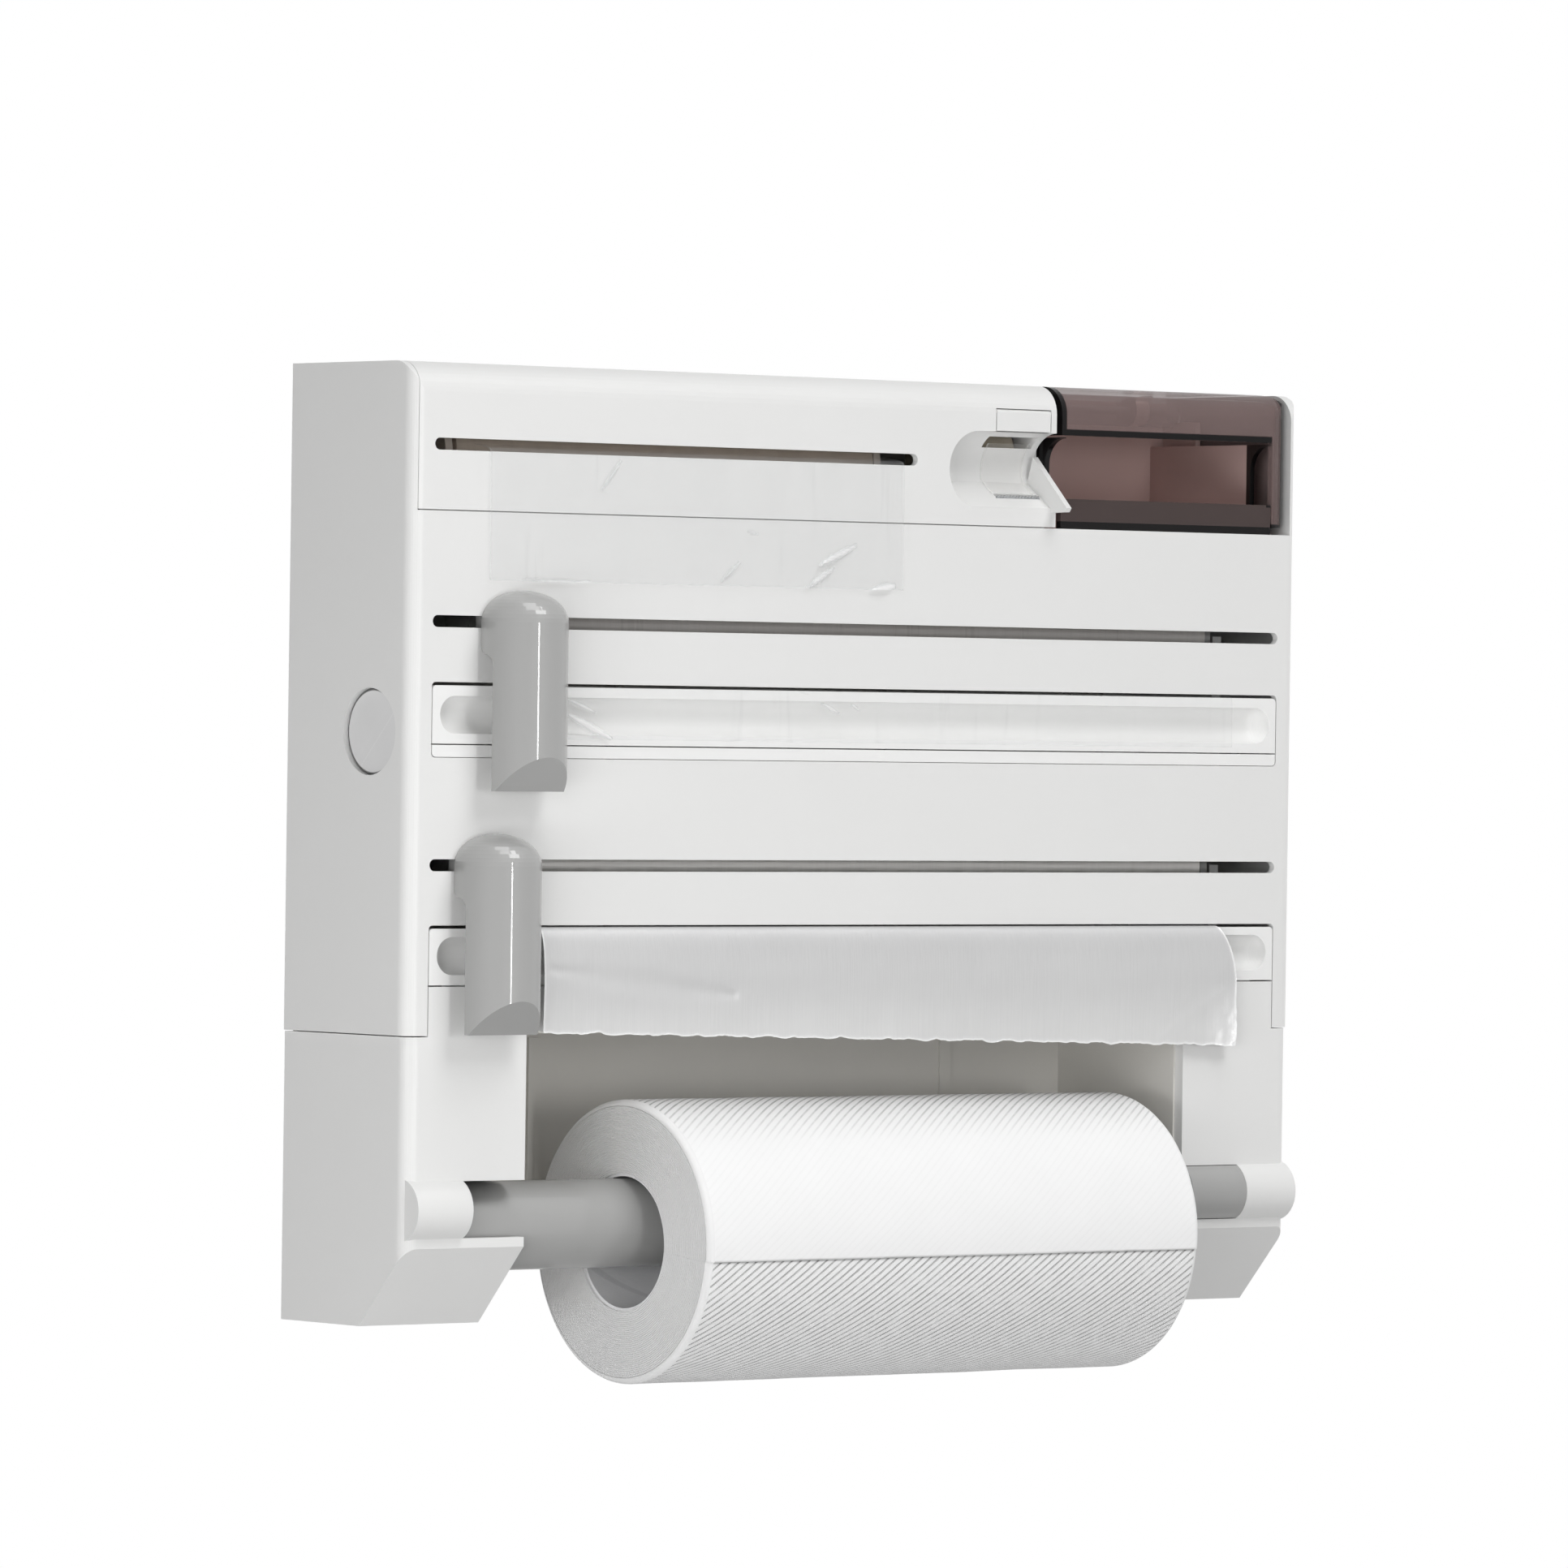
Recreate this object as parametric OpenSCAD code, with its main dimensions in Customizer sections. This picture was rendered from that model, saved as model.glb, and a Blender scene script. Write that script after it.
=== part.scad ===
// Wall-mounted kitchen roll dispenser, every piece a named sub-part in one frame.
// Millimetres. The origin is the centre of the four wall screws on the wall plane.
// +X is the viewer's right, +Y goes into the wall, +Z is up.

/* [Housing] */
// Room from the left side face to the film and foil rolls
left_room = 54.5; // [51:0.5:61]
// Room from the right side face to the film and foil rolls
right_room = 30.5; // [28:0.5:37]
// Depth from the wall to the flat front face
body_d = 69; // [69:0.5:73]
// Top of the housing above the screw centre
top_z = 139; // [138:0.5:143]
// Underside of the base below the screw centre
base_drop = 181; // [178:0.5:188]
// Seam between cover and base, below the screw centre
seam_drop = 84; // [83:0.5:86]
// Wall thickness of the cover and the lid
wall_t = 2.5; // [2.2:0.1:2.7]
// Radius of the upright front corners
edge_r = 5; // [4:0.5:6]
// Radius of the top front corner
top_r = 10; // [8:0.5:11]
// Visible joint between neighbouring mouldings
joint_gap = 0.4; // [0.3:0.05:0.5]

/* [Slots and troughs] */
// Height of the three long slots
slot_h = 4; // [3.8:0.1:4.6]
// Distance from a side face to the end of a long slot
slot_margin = 9; // [8.5:0.5:10]
// Height of the bag slot
bag_slot_z = 111.7; // [110.5:0.1:113]
// Height of the film slot
film_slot_z = 53.1; // [52:0.1:54.5]
// Height of the foil slot
foil_slot_z = -27.6; // [-28.6:0.1:-26.5]
// Top edge of the film panel
film_top = 33; // [32.5:0.1:34]
// Line between the film trough and the cutting strip
strip_top = 12.4; // [12:0.1:12.8]
// Lower edge of the cutting strip
strip_low = 8; // [7.6:0.1:8.4]
// Top edge of the foil panel
foil_top = -47.5; // [-48:0.1:-46.8]
// Lower edge of the foil panel
foil_low = -67.8; // [-69:0.1:-67]
// Radius of the finger hollow in both troughs
grip_r = 6.3; // [5.6:0.1:6.6]
// Corner radius of the film and foil panels
panel_r = 1.5; // [1:0.1:2]
// Slit where a web comes out above a trough
web_slit = 1.1; // [1:0.1:1.4]
// Thickness of a hanging web of film, foil or bag
web_t = 0.3; // [0.25:0.05:0.4]

/* [Cutters] */
// Radius of the cutter body
cutter_r = 15; // [14.2:0.1:15.4]
// Distance of the cutter axis in front of the face
cutter_off = 4.7; // [4.4:0.1:5]
// Rise of the dome above the slot
cutter_dome = 10.6; // [9.5:0.1:11]
// Drop of the cutter foot below the slot
cutter_drop = 56; // [54:0.5:57]
// Gap between the cutter arm and the face
arm_gap = 7.8; // [7.4:0.1:8.2]
// Drop of the blade below the slot
blade_drop = 42.4; // [42:0.1:42.8]
// Rest distance of the film cutter's axis from the left side face
film_cutter_in = 43; // [39:0.2:46]
// Rest distance of the foil cutter's axis from the left side face
foil_cutter_in = 33.2; // [30:0.2:36]

/* [Film, foil and bag rolls] */
// Depth of the three roll axes, as a distance from the wall
roll_depth = 36; // [35:0.5:37]
// Width of a film or foil roll, which sets the width of the housing
roll_len = 305; // [285:1:345]
// Diameter of the film winding
film_d = 38; // [34:0.5:40]
// Diameter of the foil winding
foil_d = 36; // [34:0.5:40]
// Diameter of the bag winding
bag_d = 34; // [32:0.5:36]
// Outside diameter of the cardboard cores
core_d = 29; // [28:0.5:30]
// Diameter of the plug journals
journal_d = 8; // [7:0.5:8.5]
// Play of a journal in its cradle
journal_play = 0.08; // [0.05:0.01:0.1]

/* [Kitchen roll and rod] */
// Diameter of the roll rod
rod_d = 30; // [29:0.5:30]
// Depth of the rod axis, as a distance from the wall
rod_depth = 50.5; // [50:0.25:51]
// Drop of the rod axis below the screw centre
rod_drop = 148.4; // [148:0.1:149]
// Telescope travel of the rod
rod_travel = 26; // [25.5:0.5:26.5]
// Play between the telescope tubes
rod_play = 0.08; // [0.05:0.01:0.1]
// Diameter of the paper winding
paper_d = 97; // [92:0.5:98]
// Width of the paper roll
paper_len = 217; // [190:1:244]
// Middle of the paper roll, to the right of the middle
paper_mid = 17.2; // [14:0.1:20]
// Inside diameter of the paper core
paper_bore = 44.6; // [43:0.2:46]

/* [Base] */
// Width of a cheek, from the side face to the roll bay
cheek_w = 50.3; // [49:0.1:53]
// Length of the rounded nose, from the side face to the rod
nose_len = 24.7; // [24:0.1:26]
// Top of the rod window below the screw centre
window_top = 132.2; // [131.6:0.1:132.8]
// Top of the lip below the screw centre
lip_top = 151.2; // [150.6:0.1:151.8]
// Depth of the flat underside
foot_depth = 44.5; // [42:0.5:48]
// Ceiling of the roll bay below the screw centre
bay_top = 82.8; // [82.4:0.1:83.4]

/* [Wall plate] */
// Spacing of the wall screws across
screw_x = 300; // [290:1:310]
// Spacing of the wall screws upright
screw_z = 76; // [70:1:80]
// Diameter of the wall screw holes
screw_d = 5.5; // [5:0.1:6]
// Thickness of the wall plate
plate_t = 2.4; // [2.2:0.1:2.6]
// Lower edge of the plate between the cheeks, below the screw centre
bay_back = 150; // [146:0.5:156]

/* [Buttons] */
// Diameter of the round button bore
button_bore = 29; // [28:0.2:30]
// Depth of the button axis, as a distance from the wall
button_depth = 46.8; // [46:0.2:47.6]
// Height of the button axis
button_z = 16.3; // [15.5:0.1:17]
// Travel of a release button
button_travel = 3; // [2.4:0.1:3]

/* [Bin, lid and tape] */
// Height of the joint under the lid
crease_z = 89.6; // [89.2:0.1:90]
// Width of the bin bay, from the right side face to the wall beside the lid
bin_w = 112.1; // [108:0.1:116]
// Inset of the hood's right face from the side face
hood_inset = 4.2; // [3.6:0.1:5]
// Radius of the upright corner of the hood
hood_r = 8; // [7:0.5:9]
// Radius of the upper right corner of the hood
hood_top_r = 7.3; // [6.5:0.1:8]
// Lower edge of the hood's visor
visor_z = 122; // [121.5:0.1:123]
// Top of the tray's front lip
tray_lip = 100; // [98.5:0.1:101]
// Radius of the scoop in the tray's side walls
tray_cove = 9; // [8:0.2:9.5]
// Radius of the hinge barrels
barrel_r = 5.5; // [5:0.1:5.8]
// Radius of the hinge pins
pin_r = 1.5; // [1.3:0.05:1.6]
// Width of the tape unit, from the bag slot to the bin
tape_w = 62.4; // [61:0.1:66]
// Length of the tape scoop's straight part
scoop_len = 34.7; // [33:0.1:36]
// Radius of the tape scoop
scoop_r = 13.3; // [12.9:0.1:13.5]
// Reach of the tape unit's fin in front of the face
ramp_reach = 8.5; // [7:0.1:9]
// Outside diameter of the tape winding
tape_d = 37; // [33:0.5:37]

/* [Hidden] */
$fn = 48;
body_w = roll_len + left_room + right_room;
hw = body_w / 2;
fy = -body_d;
fin = fy + wall_t;
slot_end = hw - slot_margin;
panel_x = slot_end - joint_gap;
base_hw = hw - 0.8;
base_t = 3;
cheek_in = hw - cheek_w;
nose_in = hw - nose_len;
part_x = hw - bin_w;
hood_x = hw - hood_inset;
bag_slot_right = part_x - tape_w;
film_cutter_x = -hw + film_cutter_in;
foil_cutter_x = -hw + foil_cutter_in;
rib_x = hw * 7 / 15;
stay_x = hw * 4 / 13;
hinge_y = -12;
hinge_z = top_z - barrel_r;
lid_x0 = -hw + wall_t + 0.3;
lid_x1 = part_x - 0.2;
bin_x0 = part_x + 2.3;
tray_x1 = hood_x - 8.8;
roll_y = -roll_depth;
rod_y = -rod_depth;
rod_z = -rod_drop;
rod_r = rod_d / 2;
paper_lean = 2.7;
paper_y = rod_y - paper_lean;
paper_z = rod_z - sqrt(pow(paper_bore / 2 - rod_r - 0.3, 2) - pow(paper_lean, 2));
nose_r = (pow(lip_top - window_top, 2) / 8 / 6) + 3;
nose_y = fy - 6 + nose_r;
nose_z = -(window_top + lip_top) / 2;
roll_x0 = -hw + left_room;
roll_x1 = hw - right_room;
paper_x0 = paper_mid - paper_len / 2;
bag_x0 = -hw + 30;
bag_z = bag_slot_z - 2;
bag_x1 = bag_slot_right - 6.5;
bag_stand = bag_slot_right + 1.5;
cradle_in = hw - 21;
cradle_out = cradle_in + 4;
screw_in = cradle_in - 5.5;
scoop_x = lid_x1 - scoop_len;
tape_x = lid_x1 - 24.2;
hatch_x0 = lid_x1 - 27;
hatch_x1 = lid_x1 - 2.8;
button_y = -button_depth;
web_in = hw - 10.5;
scoop_z = visor_z - scoop_r + 0.5;
lip = scoop_z - scoop_r;
shelf_top = [fy + 12.6, scoop_z - 4];
shelf_low = [fy + 0.3, lip + 0.6];
tape_y = -33.5;
tape_z = 112.5;
sleeve_r = rod_r - 2 - rod_play;
tube_end = hw - 94;
sleeve_in = tube_end - 53;
spring_seat = sleeve_in - 66;
LUGS = [-hw + 9, -stay_x, part_x - 10.9];
HOOD_LUGS = [bin_x0 + 20.8, hood_x - 26.8];
lug_w = 6;
white = [0.93, 0.93, 0.93];
grey = [0.62, 0.62, 0.61];
steel = [0.75, 0.76, 0.78];
smoke = [0.35, 0.31, 0.31];
card = [0.7, 0.58, 0.43];

function arc(cy, cz, r, a0, a1, n = 10) =
    [for (i = [0 : n]) [cy + r * cos(a0 + (a1 - a0) * i / n), cz + r * sin(a0 + (a1 - a0) * i / n)]];
function side_pts(off, yb, zb) =
    concat([[yb, zb], [fy + off, zb]], arc(fy + top_r, top_z - top_r, top_r - off, 180, 90),
        [[yb, top_z - off]]);
function plan_pts(off, yb, xw, r) =
    concat([[-xw + off, yb]], arc(-xw + r, fy + r, r - off, 180, 270),
        arc(xw - r, fy + r, r - off, 270, 360), [[xw - off, yb]]);
function unit(v) = v / norm(v);
function path_dir(p, i) = unit(p[min(i + 1, len(p) - 1)] - p[max(i - 1, 0)]);
function path_side(p, d) = [for (i = [0 : len(p) - 1]) p[i] + d * [-path_dir(p, i)[1], path_dir(p, i)[0]]];
function flip(p) = [for (i = [len(p) - 1 : -1 : 0]) p[i]];
function web_pts(p, t) = concat(path_side(p, t / 2), flip(path_side(p, -t / 2)));

// Box between two corners
module bx(a, b) {
    translate(a) cube(b - a);
}

// Cylinder along X between two stations
module xcyl(r, x0, x1, y, z) {
    translate([x0, y, z]) rotate([0, 90, 0]) cylinder(r = r, h = x1 - x0);
}

// Ring along X between two stations
module xtube(ro, ri, x0, x1, y, z) {
    difference() {
        xcyl(ro, x0, x1, y, z);
        xcyl(ri, x0 - 1, x1 + 1, y, z);
    }
}

// Side profile in Y and Z, run along X
module xprism(x0, x1, pts) {
    translate([x0, 0, 0]) rotate([90, 0, 90]) linear_extrude(x1 - x0) polygon(pts);
}

// Plan outline in X and Y, run along Z
module zprism(z0, z1, pts) {
    translate([0, 0, z0]) linear_extrude(z1 - z0) polygon(pts);
}

// Long slot with round ends, through the front wall
module yslot(x0, x1, z, h) {
    bx([x0 + h / 2, fy - 1, z - h / 2], [x1 - h / 2, fin + 0.5, z + h / 2]);
    for (x = [x0 + h / 2, x1 - h / 2]) {
        translate([x, fin + 0.5, z]) rotate([90, 0, 0]) cylinder(r = h / 2, h = wall_t + 1.5, $fn = 24);
    }
}

// Outline in X and Z with round lower and upper corners
function round_pts(x0, x1, z0, z1, low, up) =
    concat(low > 0 ? arc(x0 + low, z0 + low, low, 180, 270, 5) : [[x0, z0]],
        low > 0 ? arc(x1 - low, z0 + low, low, 270, 360, 5) : [[x1, z0]],
        up > 0 ? arc(x1 - up, z1 - up, up, 0, 90, 5) : [[x1, z1]],
        up > 0 ? arc(x0 + up, z1 - up, up, 90, 180, 5) : [[x0, z1]]);

// Plate with round corners between two depths
module yplate(a, b, low, up) {
    translate([0, b[1], 0]) rotate([90, 0, 0]) linear_extrude(b[1] - a[1])
        polygon(round_pts(a[0], b[0], a[2], b[2], low, up));
}

// Block of the housing at an inset from its outer faces
module housing(off, yb, zb) {
    intersection() {
        xprism(-hw - 1, hw + 1, side_pts(off, yb, zb));
        zprism(zb - 1, top_z + 1, plan_pts(off, yb, hw, edge_r));
    }
}

// Copy for the right side made from the left one
module both() {
    children();
    mirror([1, 0, 0]) children();
}

// Finger hollow along the middle of a trough
module hollow(r, z) {
    xe = slot_end - 3.5 - grip_r;
    translate([0, fy, z]) rotate([0, 90, 0]) rotate_extrude()
        polygon(concat([[0, -xe - r]], arc(0, -xe, r, -80, 0, 8), arc(0, xe, r, 0, 80, 8), [[0, xe + r]]));
}

// Coil of round wire along X, one unbroken tube
module coil(x0, x1, r, wire, turns, steps, sides) {
    n = round(turns * steps);
    pts = [for (i = [0 : n], k = [0 : sides - 1])
        let (a = 360 * i / steps, b = 360 * k / sides, q = r + wire * cos(b))
        [x0 + wire + (x1 - x0 - 2 * wire) * i / n + wire * sin(b), q * cos(a), q * sin(a)]];
    quads = [for (i = [0 : n - 1], k = [0 : sides - 1])
        [i * sides + k, i * sides + (k + 1) % sides, (i + 1) * sides + (k + 1) % sides, (i + 1) * sides + k]];
    first = [for (k = [sides - 1 : -1 : 0]) k];
    last = [for (k = [0 : sides - 1]) n * sides + k];
    polyhedron(points = pts, faces = concat(quads, [first, last]), convexity = 8);
}

// Wall plate with four screw bosses
module wall_plate() {
    color(white) difference() {
        union() {
            bx([-hw + 4.5, -plate_t, -base_drop + 3], [hw - 4.5, 0, top_z - 6]);
            for (x = [-1, 1], z = [-1, 1]) {
                translate([x * screw_x / 2, -plate_t + 0.1, z * screw_z / 2]) rotate([90, 0, 0])
                    cylinder(r = 8, h = 4.1);
            }
            for (x = [-rib_x, rib_x]) {
                bx([x - 2.5, -plate_t - 1, -base_drop + 3], [x + 2.5, -plate_t + 0.1, -seam_drop - 3.5]);
            }
            for (x = [-stay_x, stay_x]) {
                bx([x - 1.5, -plate_t - 5, -60], [x + 1.5, -plate_t + 0.1, 84]);
            }
        }
        for (x = [-1, 1], z = [-1, 1]) {
            translate([x * screw_x / 2, 1, z * screw_z / 2]) rotate([90, 0, 0])
                cylinder(r = screw_d / 2, h = 20);
            translate([x * screw_x / 2, -plate_t - 1.5, z * screw_z / 2]) rotate([90, 0, 0])
                cylinder(r = screw_d, h = 20);
        }
        frame_bores(1.6);
        bx([-cheek_in, -30, -base_drop - 5], [cheek_in, 5, -bay_back]);
    }
}

// Bores of the bracket screws
module frame_bores(r) {
    for (x = [-1, 1], z = [-50, 36, 80]) {
        translate([x * screw_in, 1, z]) rotate([90, 0, 0]) cylinder(r = r, h = 30, $fn = 24);
    }
    for (z = [100, 122]) {
        translate([bag_stand - 4, 1, z]) rotate([90, 0, 0]) cylinder(r = r, h = 12, $fn = 24);
    }
}

// Pan-head screws that hold the brackets
module frame_screws() {
    color(steel) {
        for (x = [-1, 1], z = [-50, 36, 80]) {
            translate([x * screw_in, 0, z]) screw();
        }
        for (z = [100, 122]) {
            translate([bag_stand - 4, 0, z]) screw();
        }
    }
}

// One pan-head screw
module screw() {
    rotate([90, 0, 0]) difference() {
        union() {
            translate([0, 0, 0.4]) cylinder(r = 1.5, h = plate_t + 3, $fn = 24);
            translate([0, 0, plate_t + 3]) cylinder(r = 3.2, h = 2, $fn = 24);
        }
        for (a = [0, 90]) {
            rotate(a) translate([-1.8, -0.4, plate_t + 4]) cube([3.6, 0.8, 2]);
        }
    }
}

// One cheek of the base, on the right
module cheek() {
    outer = [[-0.5, -seam_drop - joint_gap], [fy, -seam_drop - joint_gap], [fy, -lip_top - 3.2],
        [-foot_depth, -base_drop], [-0.5, -base_drop]];
    inner = [[5, -seam_drop + 5], [fy + base_t, -seam_drop + 5], [fy + base_t, -lip_top - 3.2],
        [-foot_depth + 0.2, -base_drop + base_t], [5, -base_drop + base_t]];
    difference() {
        intersection() {
            xprism(cheek_in, base_hw, outer);
            zprism(-base_drop - 1, -seam_drop, plan_pts(0, 5, base_hw, edge_r));
        }
        xprism(cheek_in + base_t, nose_in, inner);
        xprism(nose_in + 4, base_hw - base_t, inner);
        bx([cheek_in - 1, -plate_t, -base_drop - 5], [base_hw - base_t, 5, -seam_drop + 5]);
        bx([cheek_in - 1, fy - 1, -lip_top], [nose_in, rod_y, -window_top]);
        xcyl(rod_r + 0.4, cheek_in - 1, cheek_in + base_t + 1, rod_y, rod_z);
    }
    xcyl(nose_r, nose_in, base_hw - 1.2, nose_y, nose_z);
}

// Lower housing with two cheeks, the front beam and the ceiling of the roll bay
module lower_base() {
    color(white) {
        both() cheek();
        difference() {
            bx([-slot_end + joint_gap, fy, -seam_drop - 3], [slot_end - joint_gap, fy + base_t, foil_low]);
            bx([-cheek_in, fy - 1, -seam_drop - 5], [cheek_in, fy + base_t + 1, -bay_top]);
        }
        bx([-cheek_in - 1, fy + 0.5, -bay_top], [cheek_in + 1, -plate_t, -bay_top + 2.6]);
    }
}

// Grey lining of the roll bay's sides and ceiling
module bay_liner() {
    t = 0.8;
    x1 = cheek_in - 0.05;
    z1 = -bay_top - 0.05;
    side = [[-plate_t - 0.1, z1], [fy + 4, z1], [fy + 4, -lip_top - 5], [-foot_depth + 3, -base_drop + 2],
        [-plate_t - 0.1, -base_drop + 2]];
    color(grey) difference() {
        union() {
            both() xprism(x1 - t, x1, side);
            bx([-x1, fy + 4, z1 - t], [x1, -plate_t - 1.4, z1]);
        }
        both() xcyl(rod_r + 0.4, x1 - t - 1, x1 + 1, rod_y, rod_z);
        both() bx([x1 - t - 1, fy - 1, -lip_top], [x1 + 1, rod_y, -window_top]);
    }
}

// Trough below the foil slit, hooked behind the front beam
module foil_trough() {
    mid = (foil_top + foil_low) / 2;
    color(white) difference() {
        union() {
            yplate([-panel_x, fy, foil_low + 0.5], [panel_x, fy + base_t, foil_top - web_slit], 0, panel_r);
            bx([-slot_end + 8, fy + base_t, foil_low - 8], [slot_end - 8, fy + base_t + 2.5, foil_low + 6]);
            intersection() {
                hollow(grip_r + 2, mid);
                bx([-hw, fy + 0.5, foil_low + 0.5], [hw, 0, foil_top - web_slit]);
            }
        }
        hollow(grip_r, mid);
    }
}

// Channel that lets a plug journal snap into its cradle
module cradle(x0, x1, z) {
    r = journal_d / 2 + journal_play;
    throat = r - 0.4;
    xcyl(r, x0 - 1, x1 + 1, roll_y, z);
    translate([0, roll_y, z]) rotate([-20, 0, 0]) bx([x0 - 1, -30, -throat], [x1 + 1, 0, throat]);
}

// Side bracket with open cradles, on the right
module bracket(zs, zt) {
    difference() {
        union() {
            bx([cradle_in, -48, -60], [cradle_out, -plate_t, zt]);
            bx([cradle_in - 14, -plate_t - 3, -60], [cradle_in + 0.1, -plate_t, min(zt, 88)]);
            bx([cradle_out - 0.1, -20, button_z - 6], [cradle_out + 3, -6, button_z + 6]);
        }
        for (z = zs) {
            cradle(cradle_in, cradle_out, z);
        }
        frame_bores(1.6);
    }
}

// Left bracket for three rolls
module left_bracket() {
    color(white) mirror([1, 0, 0]) bracket([bag_z, film_slot_z, foil_slot_z], 124);
}

// Right bracket for two rolls
module right_bracket() {
    color(white) bracket([film_slot_z, foil_slot_z], 82);
}

// Middle bracket for the right end of the bag roll
module bag_bracket() {
    color(white) difference() {
        union() {
            bx([bag_stand, -48, 94], [bag_stand + 4, -plate_t, 126]);
            bx([bag_stand - 10, -plate_t - 3, 94], [bag_stand + 0.1, -plate_t, 126]);
        }
        cradle(bag_stand, bag_stand + 4, bag_z);
        frame_bores(1.6);
    }
}

// Spring leaf with the peg that holds the cover, on the right
module latch() {
    bx([cradle_out + 3, button_y - 7, button_z - 5], [cradle_out + 4.2, -6, button_z + 5]);
    xcyl(2.2, cradle_out + 4.1, web_in + 1.4, button_y + 10, button_z);
}

module left_latch() {
    color(steel) mirror([1, 0, 0]) latch();
}

module right_latch() {
    color(steel) latch();
}

// Fixed half of the telescopic rod, on the right
module rod_sleeve() {
    color(grey) difference() {
        union() {
            xcyl(sleeve_r, sleeve_in, tube_end + rod_travel + 3, rod_y, rod_z);
            xcyl(rod_r, tube_end + rod_travel + 1, nose_in, rod_y, rod_z);
            intersection() {
                xcyl(nose_r - 0.2, cheek_in + 0.6, nose_in, nose_y, nose_z);
                bx([cheek_in, fy - 20, -lip_top + 0.2], [nose_in + 1, rod_y, -window_top - 0.2]);
            }
        }
        xcyl(sleeve_r - 2.5, sleeve_in + 3, nose_in - 2, rod_y, rod_z);
    }
}

// Compression spring of the rod
module rod_spring() {
    color(steel) translate([0, rod_y, rod_z]) coil(spring_seat + 0.2, sleeve_in - 0.2, 8.5, 0.8, 11, 14, 6);
}

// Sliding half of the telescopic rod
module rod_tube() {
    color(grey) {
        difference() {
            xcyl(rod_r, -nose_in + 0.8, tube_end, rod_y, rod_z);
            xcyl(rod_r - 2, -nose_in + 2.8, tube_end + 1, rod_y, rod_z);
        }
        xcyl(rod_r - 1.9, spring_seat - 4, spring_seat, rod_y, rod_z);
    }
}

// Wound paper of the kitchen roll
module paper_roll() {
    color(white)
        xtube(paper_d / 2, paper_bore / 2 + 1, paper_x0, paper_x0 + paper_len, paper_y, paper_z, $fn = 80);
}

// Cardboard core of the kitchen roll
module paper_core() {
    color(card)
        xtube(paper_bore / 2 + 1, paper_bore / 2, paper_x0 + 1, paper_x0 + paper_len - 1, paper_y, paper_z);
}

// Wound web on a small roll
module winding(x0, x1, d, z) {
    xtube(d / 2, core_d / 2, x0, x1, roll_y, z, $fn = 64);
}

// Cardboard core of a small roll
module core(x0, x1, z) {
    xtube(core_d / 2, core_d / 2 - 1.5, x0, x1, roll_y, z);
}

// End plug with flange and journal, both ends given in order towards the journal
module plug(x0, x1, flange, tip, z) {
    a = min(x0, x1);
    b = max(x0, x1);
    s = x1 > x0 ? 1 : -1;
    xcyl(core_d / 2 - 1.5, min(x0 - 14 * s, x0), max(x0 - 14 * s, x0), roll_y, z);
    xcyl(11, a, b, roll_y, z);
    xcyl(flange / 2, min(x1, x1 + 3 * s), max(x1, x1 + 3 * s), roll_y, z);
    xcyl(journal_d / 2, min(x1, tip), max(x1, tip), roll_y, z);
}

module film_winding() {
    color([0.8, 0.81, 0.82]) winding(roll_x0, roll_x1, film_d, film_slot_z);
}

module film_core() {
    color(card) core(roll_x0, roll_x1, film_slot_z);
}

module film_plugs() {
    color(grey) {
        plug(roll_x0, -cradle_in + 18, 34, -cradle_out - 1.5, film_slot_z);
        plug(roll_x1, roll_x1 + 1, 34, cradle_out + 1.5, film_slot_z);
    }
}

module foil_winding() {
    color(steel) winding(roll_x0, roll_x1, foil_d, foil_slot_z);
}

module foil_core() {
    color(card) core(roll_x0, roll_x1, foil_slot_z);
}

module foil_plugs() {
    color(grey) {
        plug(roll_x0, -cradle_in + 14, 34, -cradle_out - 1.5, foil_slot_z);
        plug(roll_x1, roll_x1 + 1, 34, cradle_out + 1.5, foil_slot_z);
    }
}

module bag_winding() {
    color([0.77, 0.72, 0.64]) winding(bag_x0, bag_x1, bag_d, bag_z);
}

module bag_core() {
    color(card) core(bag_x0, bag_x1, bag_z);
}

module bag_plugs() {
    color(grey) {
        plug(bag_x0, bag_x0 - 1, 32, -cradle_out - 1.5, bag_z);
        plug(bag_x1, bag_x1 + 1, 32, bag_stand + 5.5, bag_z);
    }
}

// Collar that guides a button, on the right
module collar() {
    difference() {
        xcyl(button_bore / 2 + 1.6, web_in, hw - wall_t + 0.1, button_y, button_z);
        xcyl(button_bore / 2, web_in + 1.5, hw + 1, button_y, button_z);
        xcyl(6.3, web_in - 1, hw, button_y, button_z);
        xcyl(2.5, web_in - 1, web_in + 2, button_y + 10, button_z);
    }
}

// Hinge lug with its foot on the rear flange
module lug(x) {
    difference() {
        union() {
            xcyl(barrel_r - 0.4, x, x + lug_w, hinge_y, hinge_z);
            bx([x, hinge_y, hinge_z - 3.5], [x + lug_w, -3.4, hinge_z + 3.5]);
        }
        xcyl(pin_r + 0.02, x - 1, x + lug_w + 1, hinge_y, hinge_z);
    }
}

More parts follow.
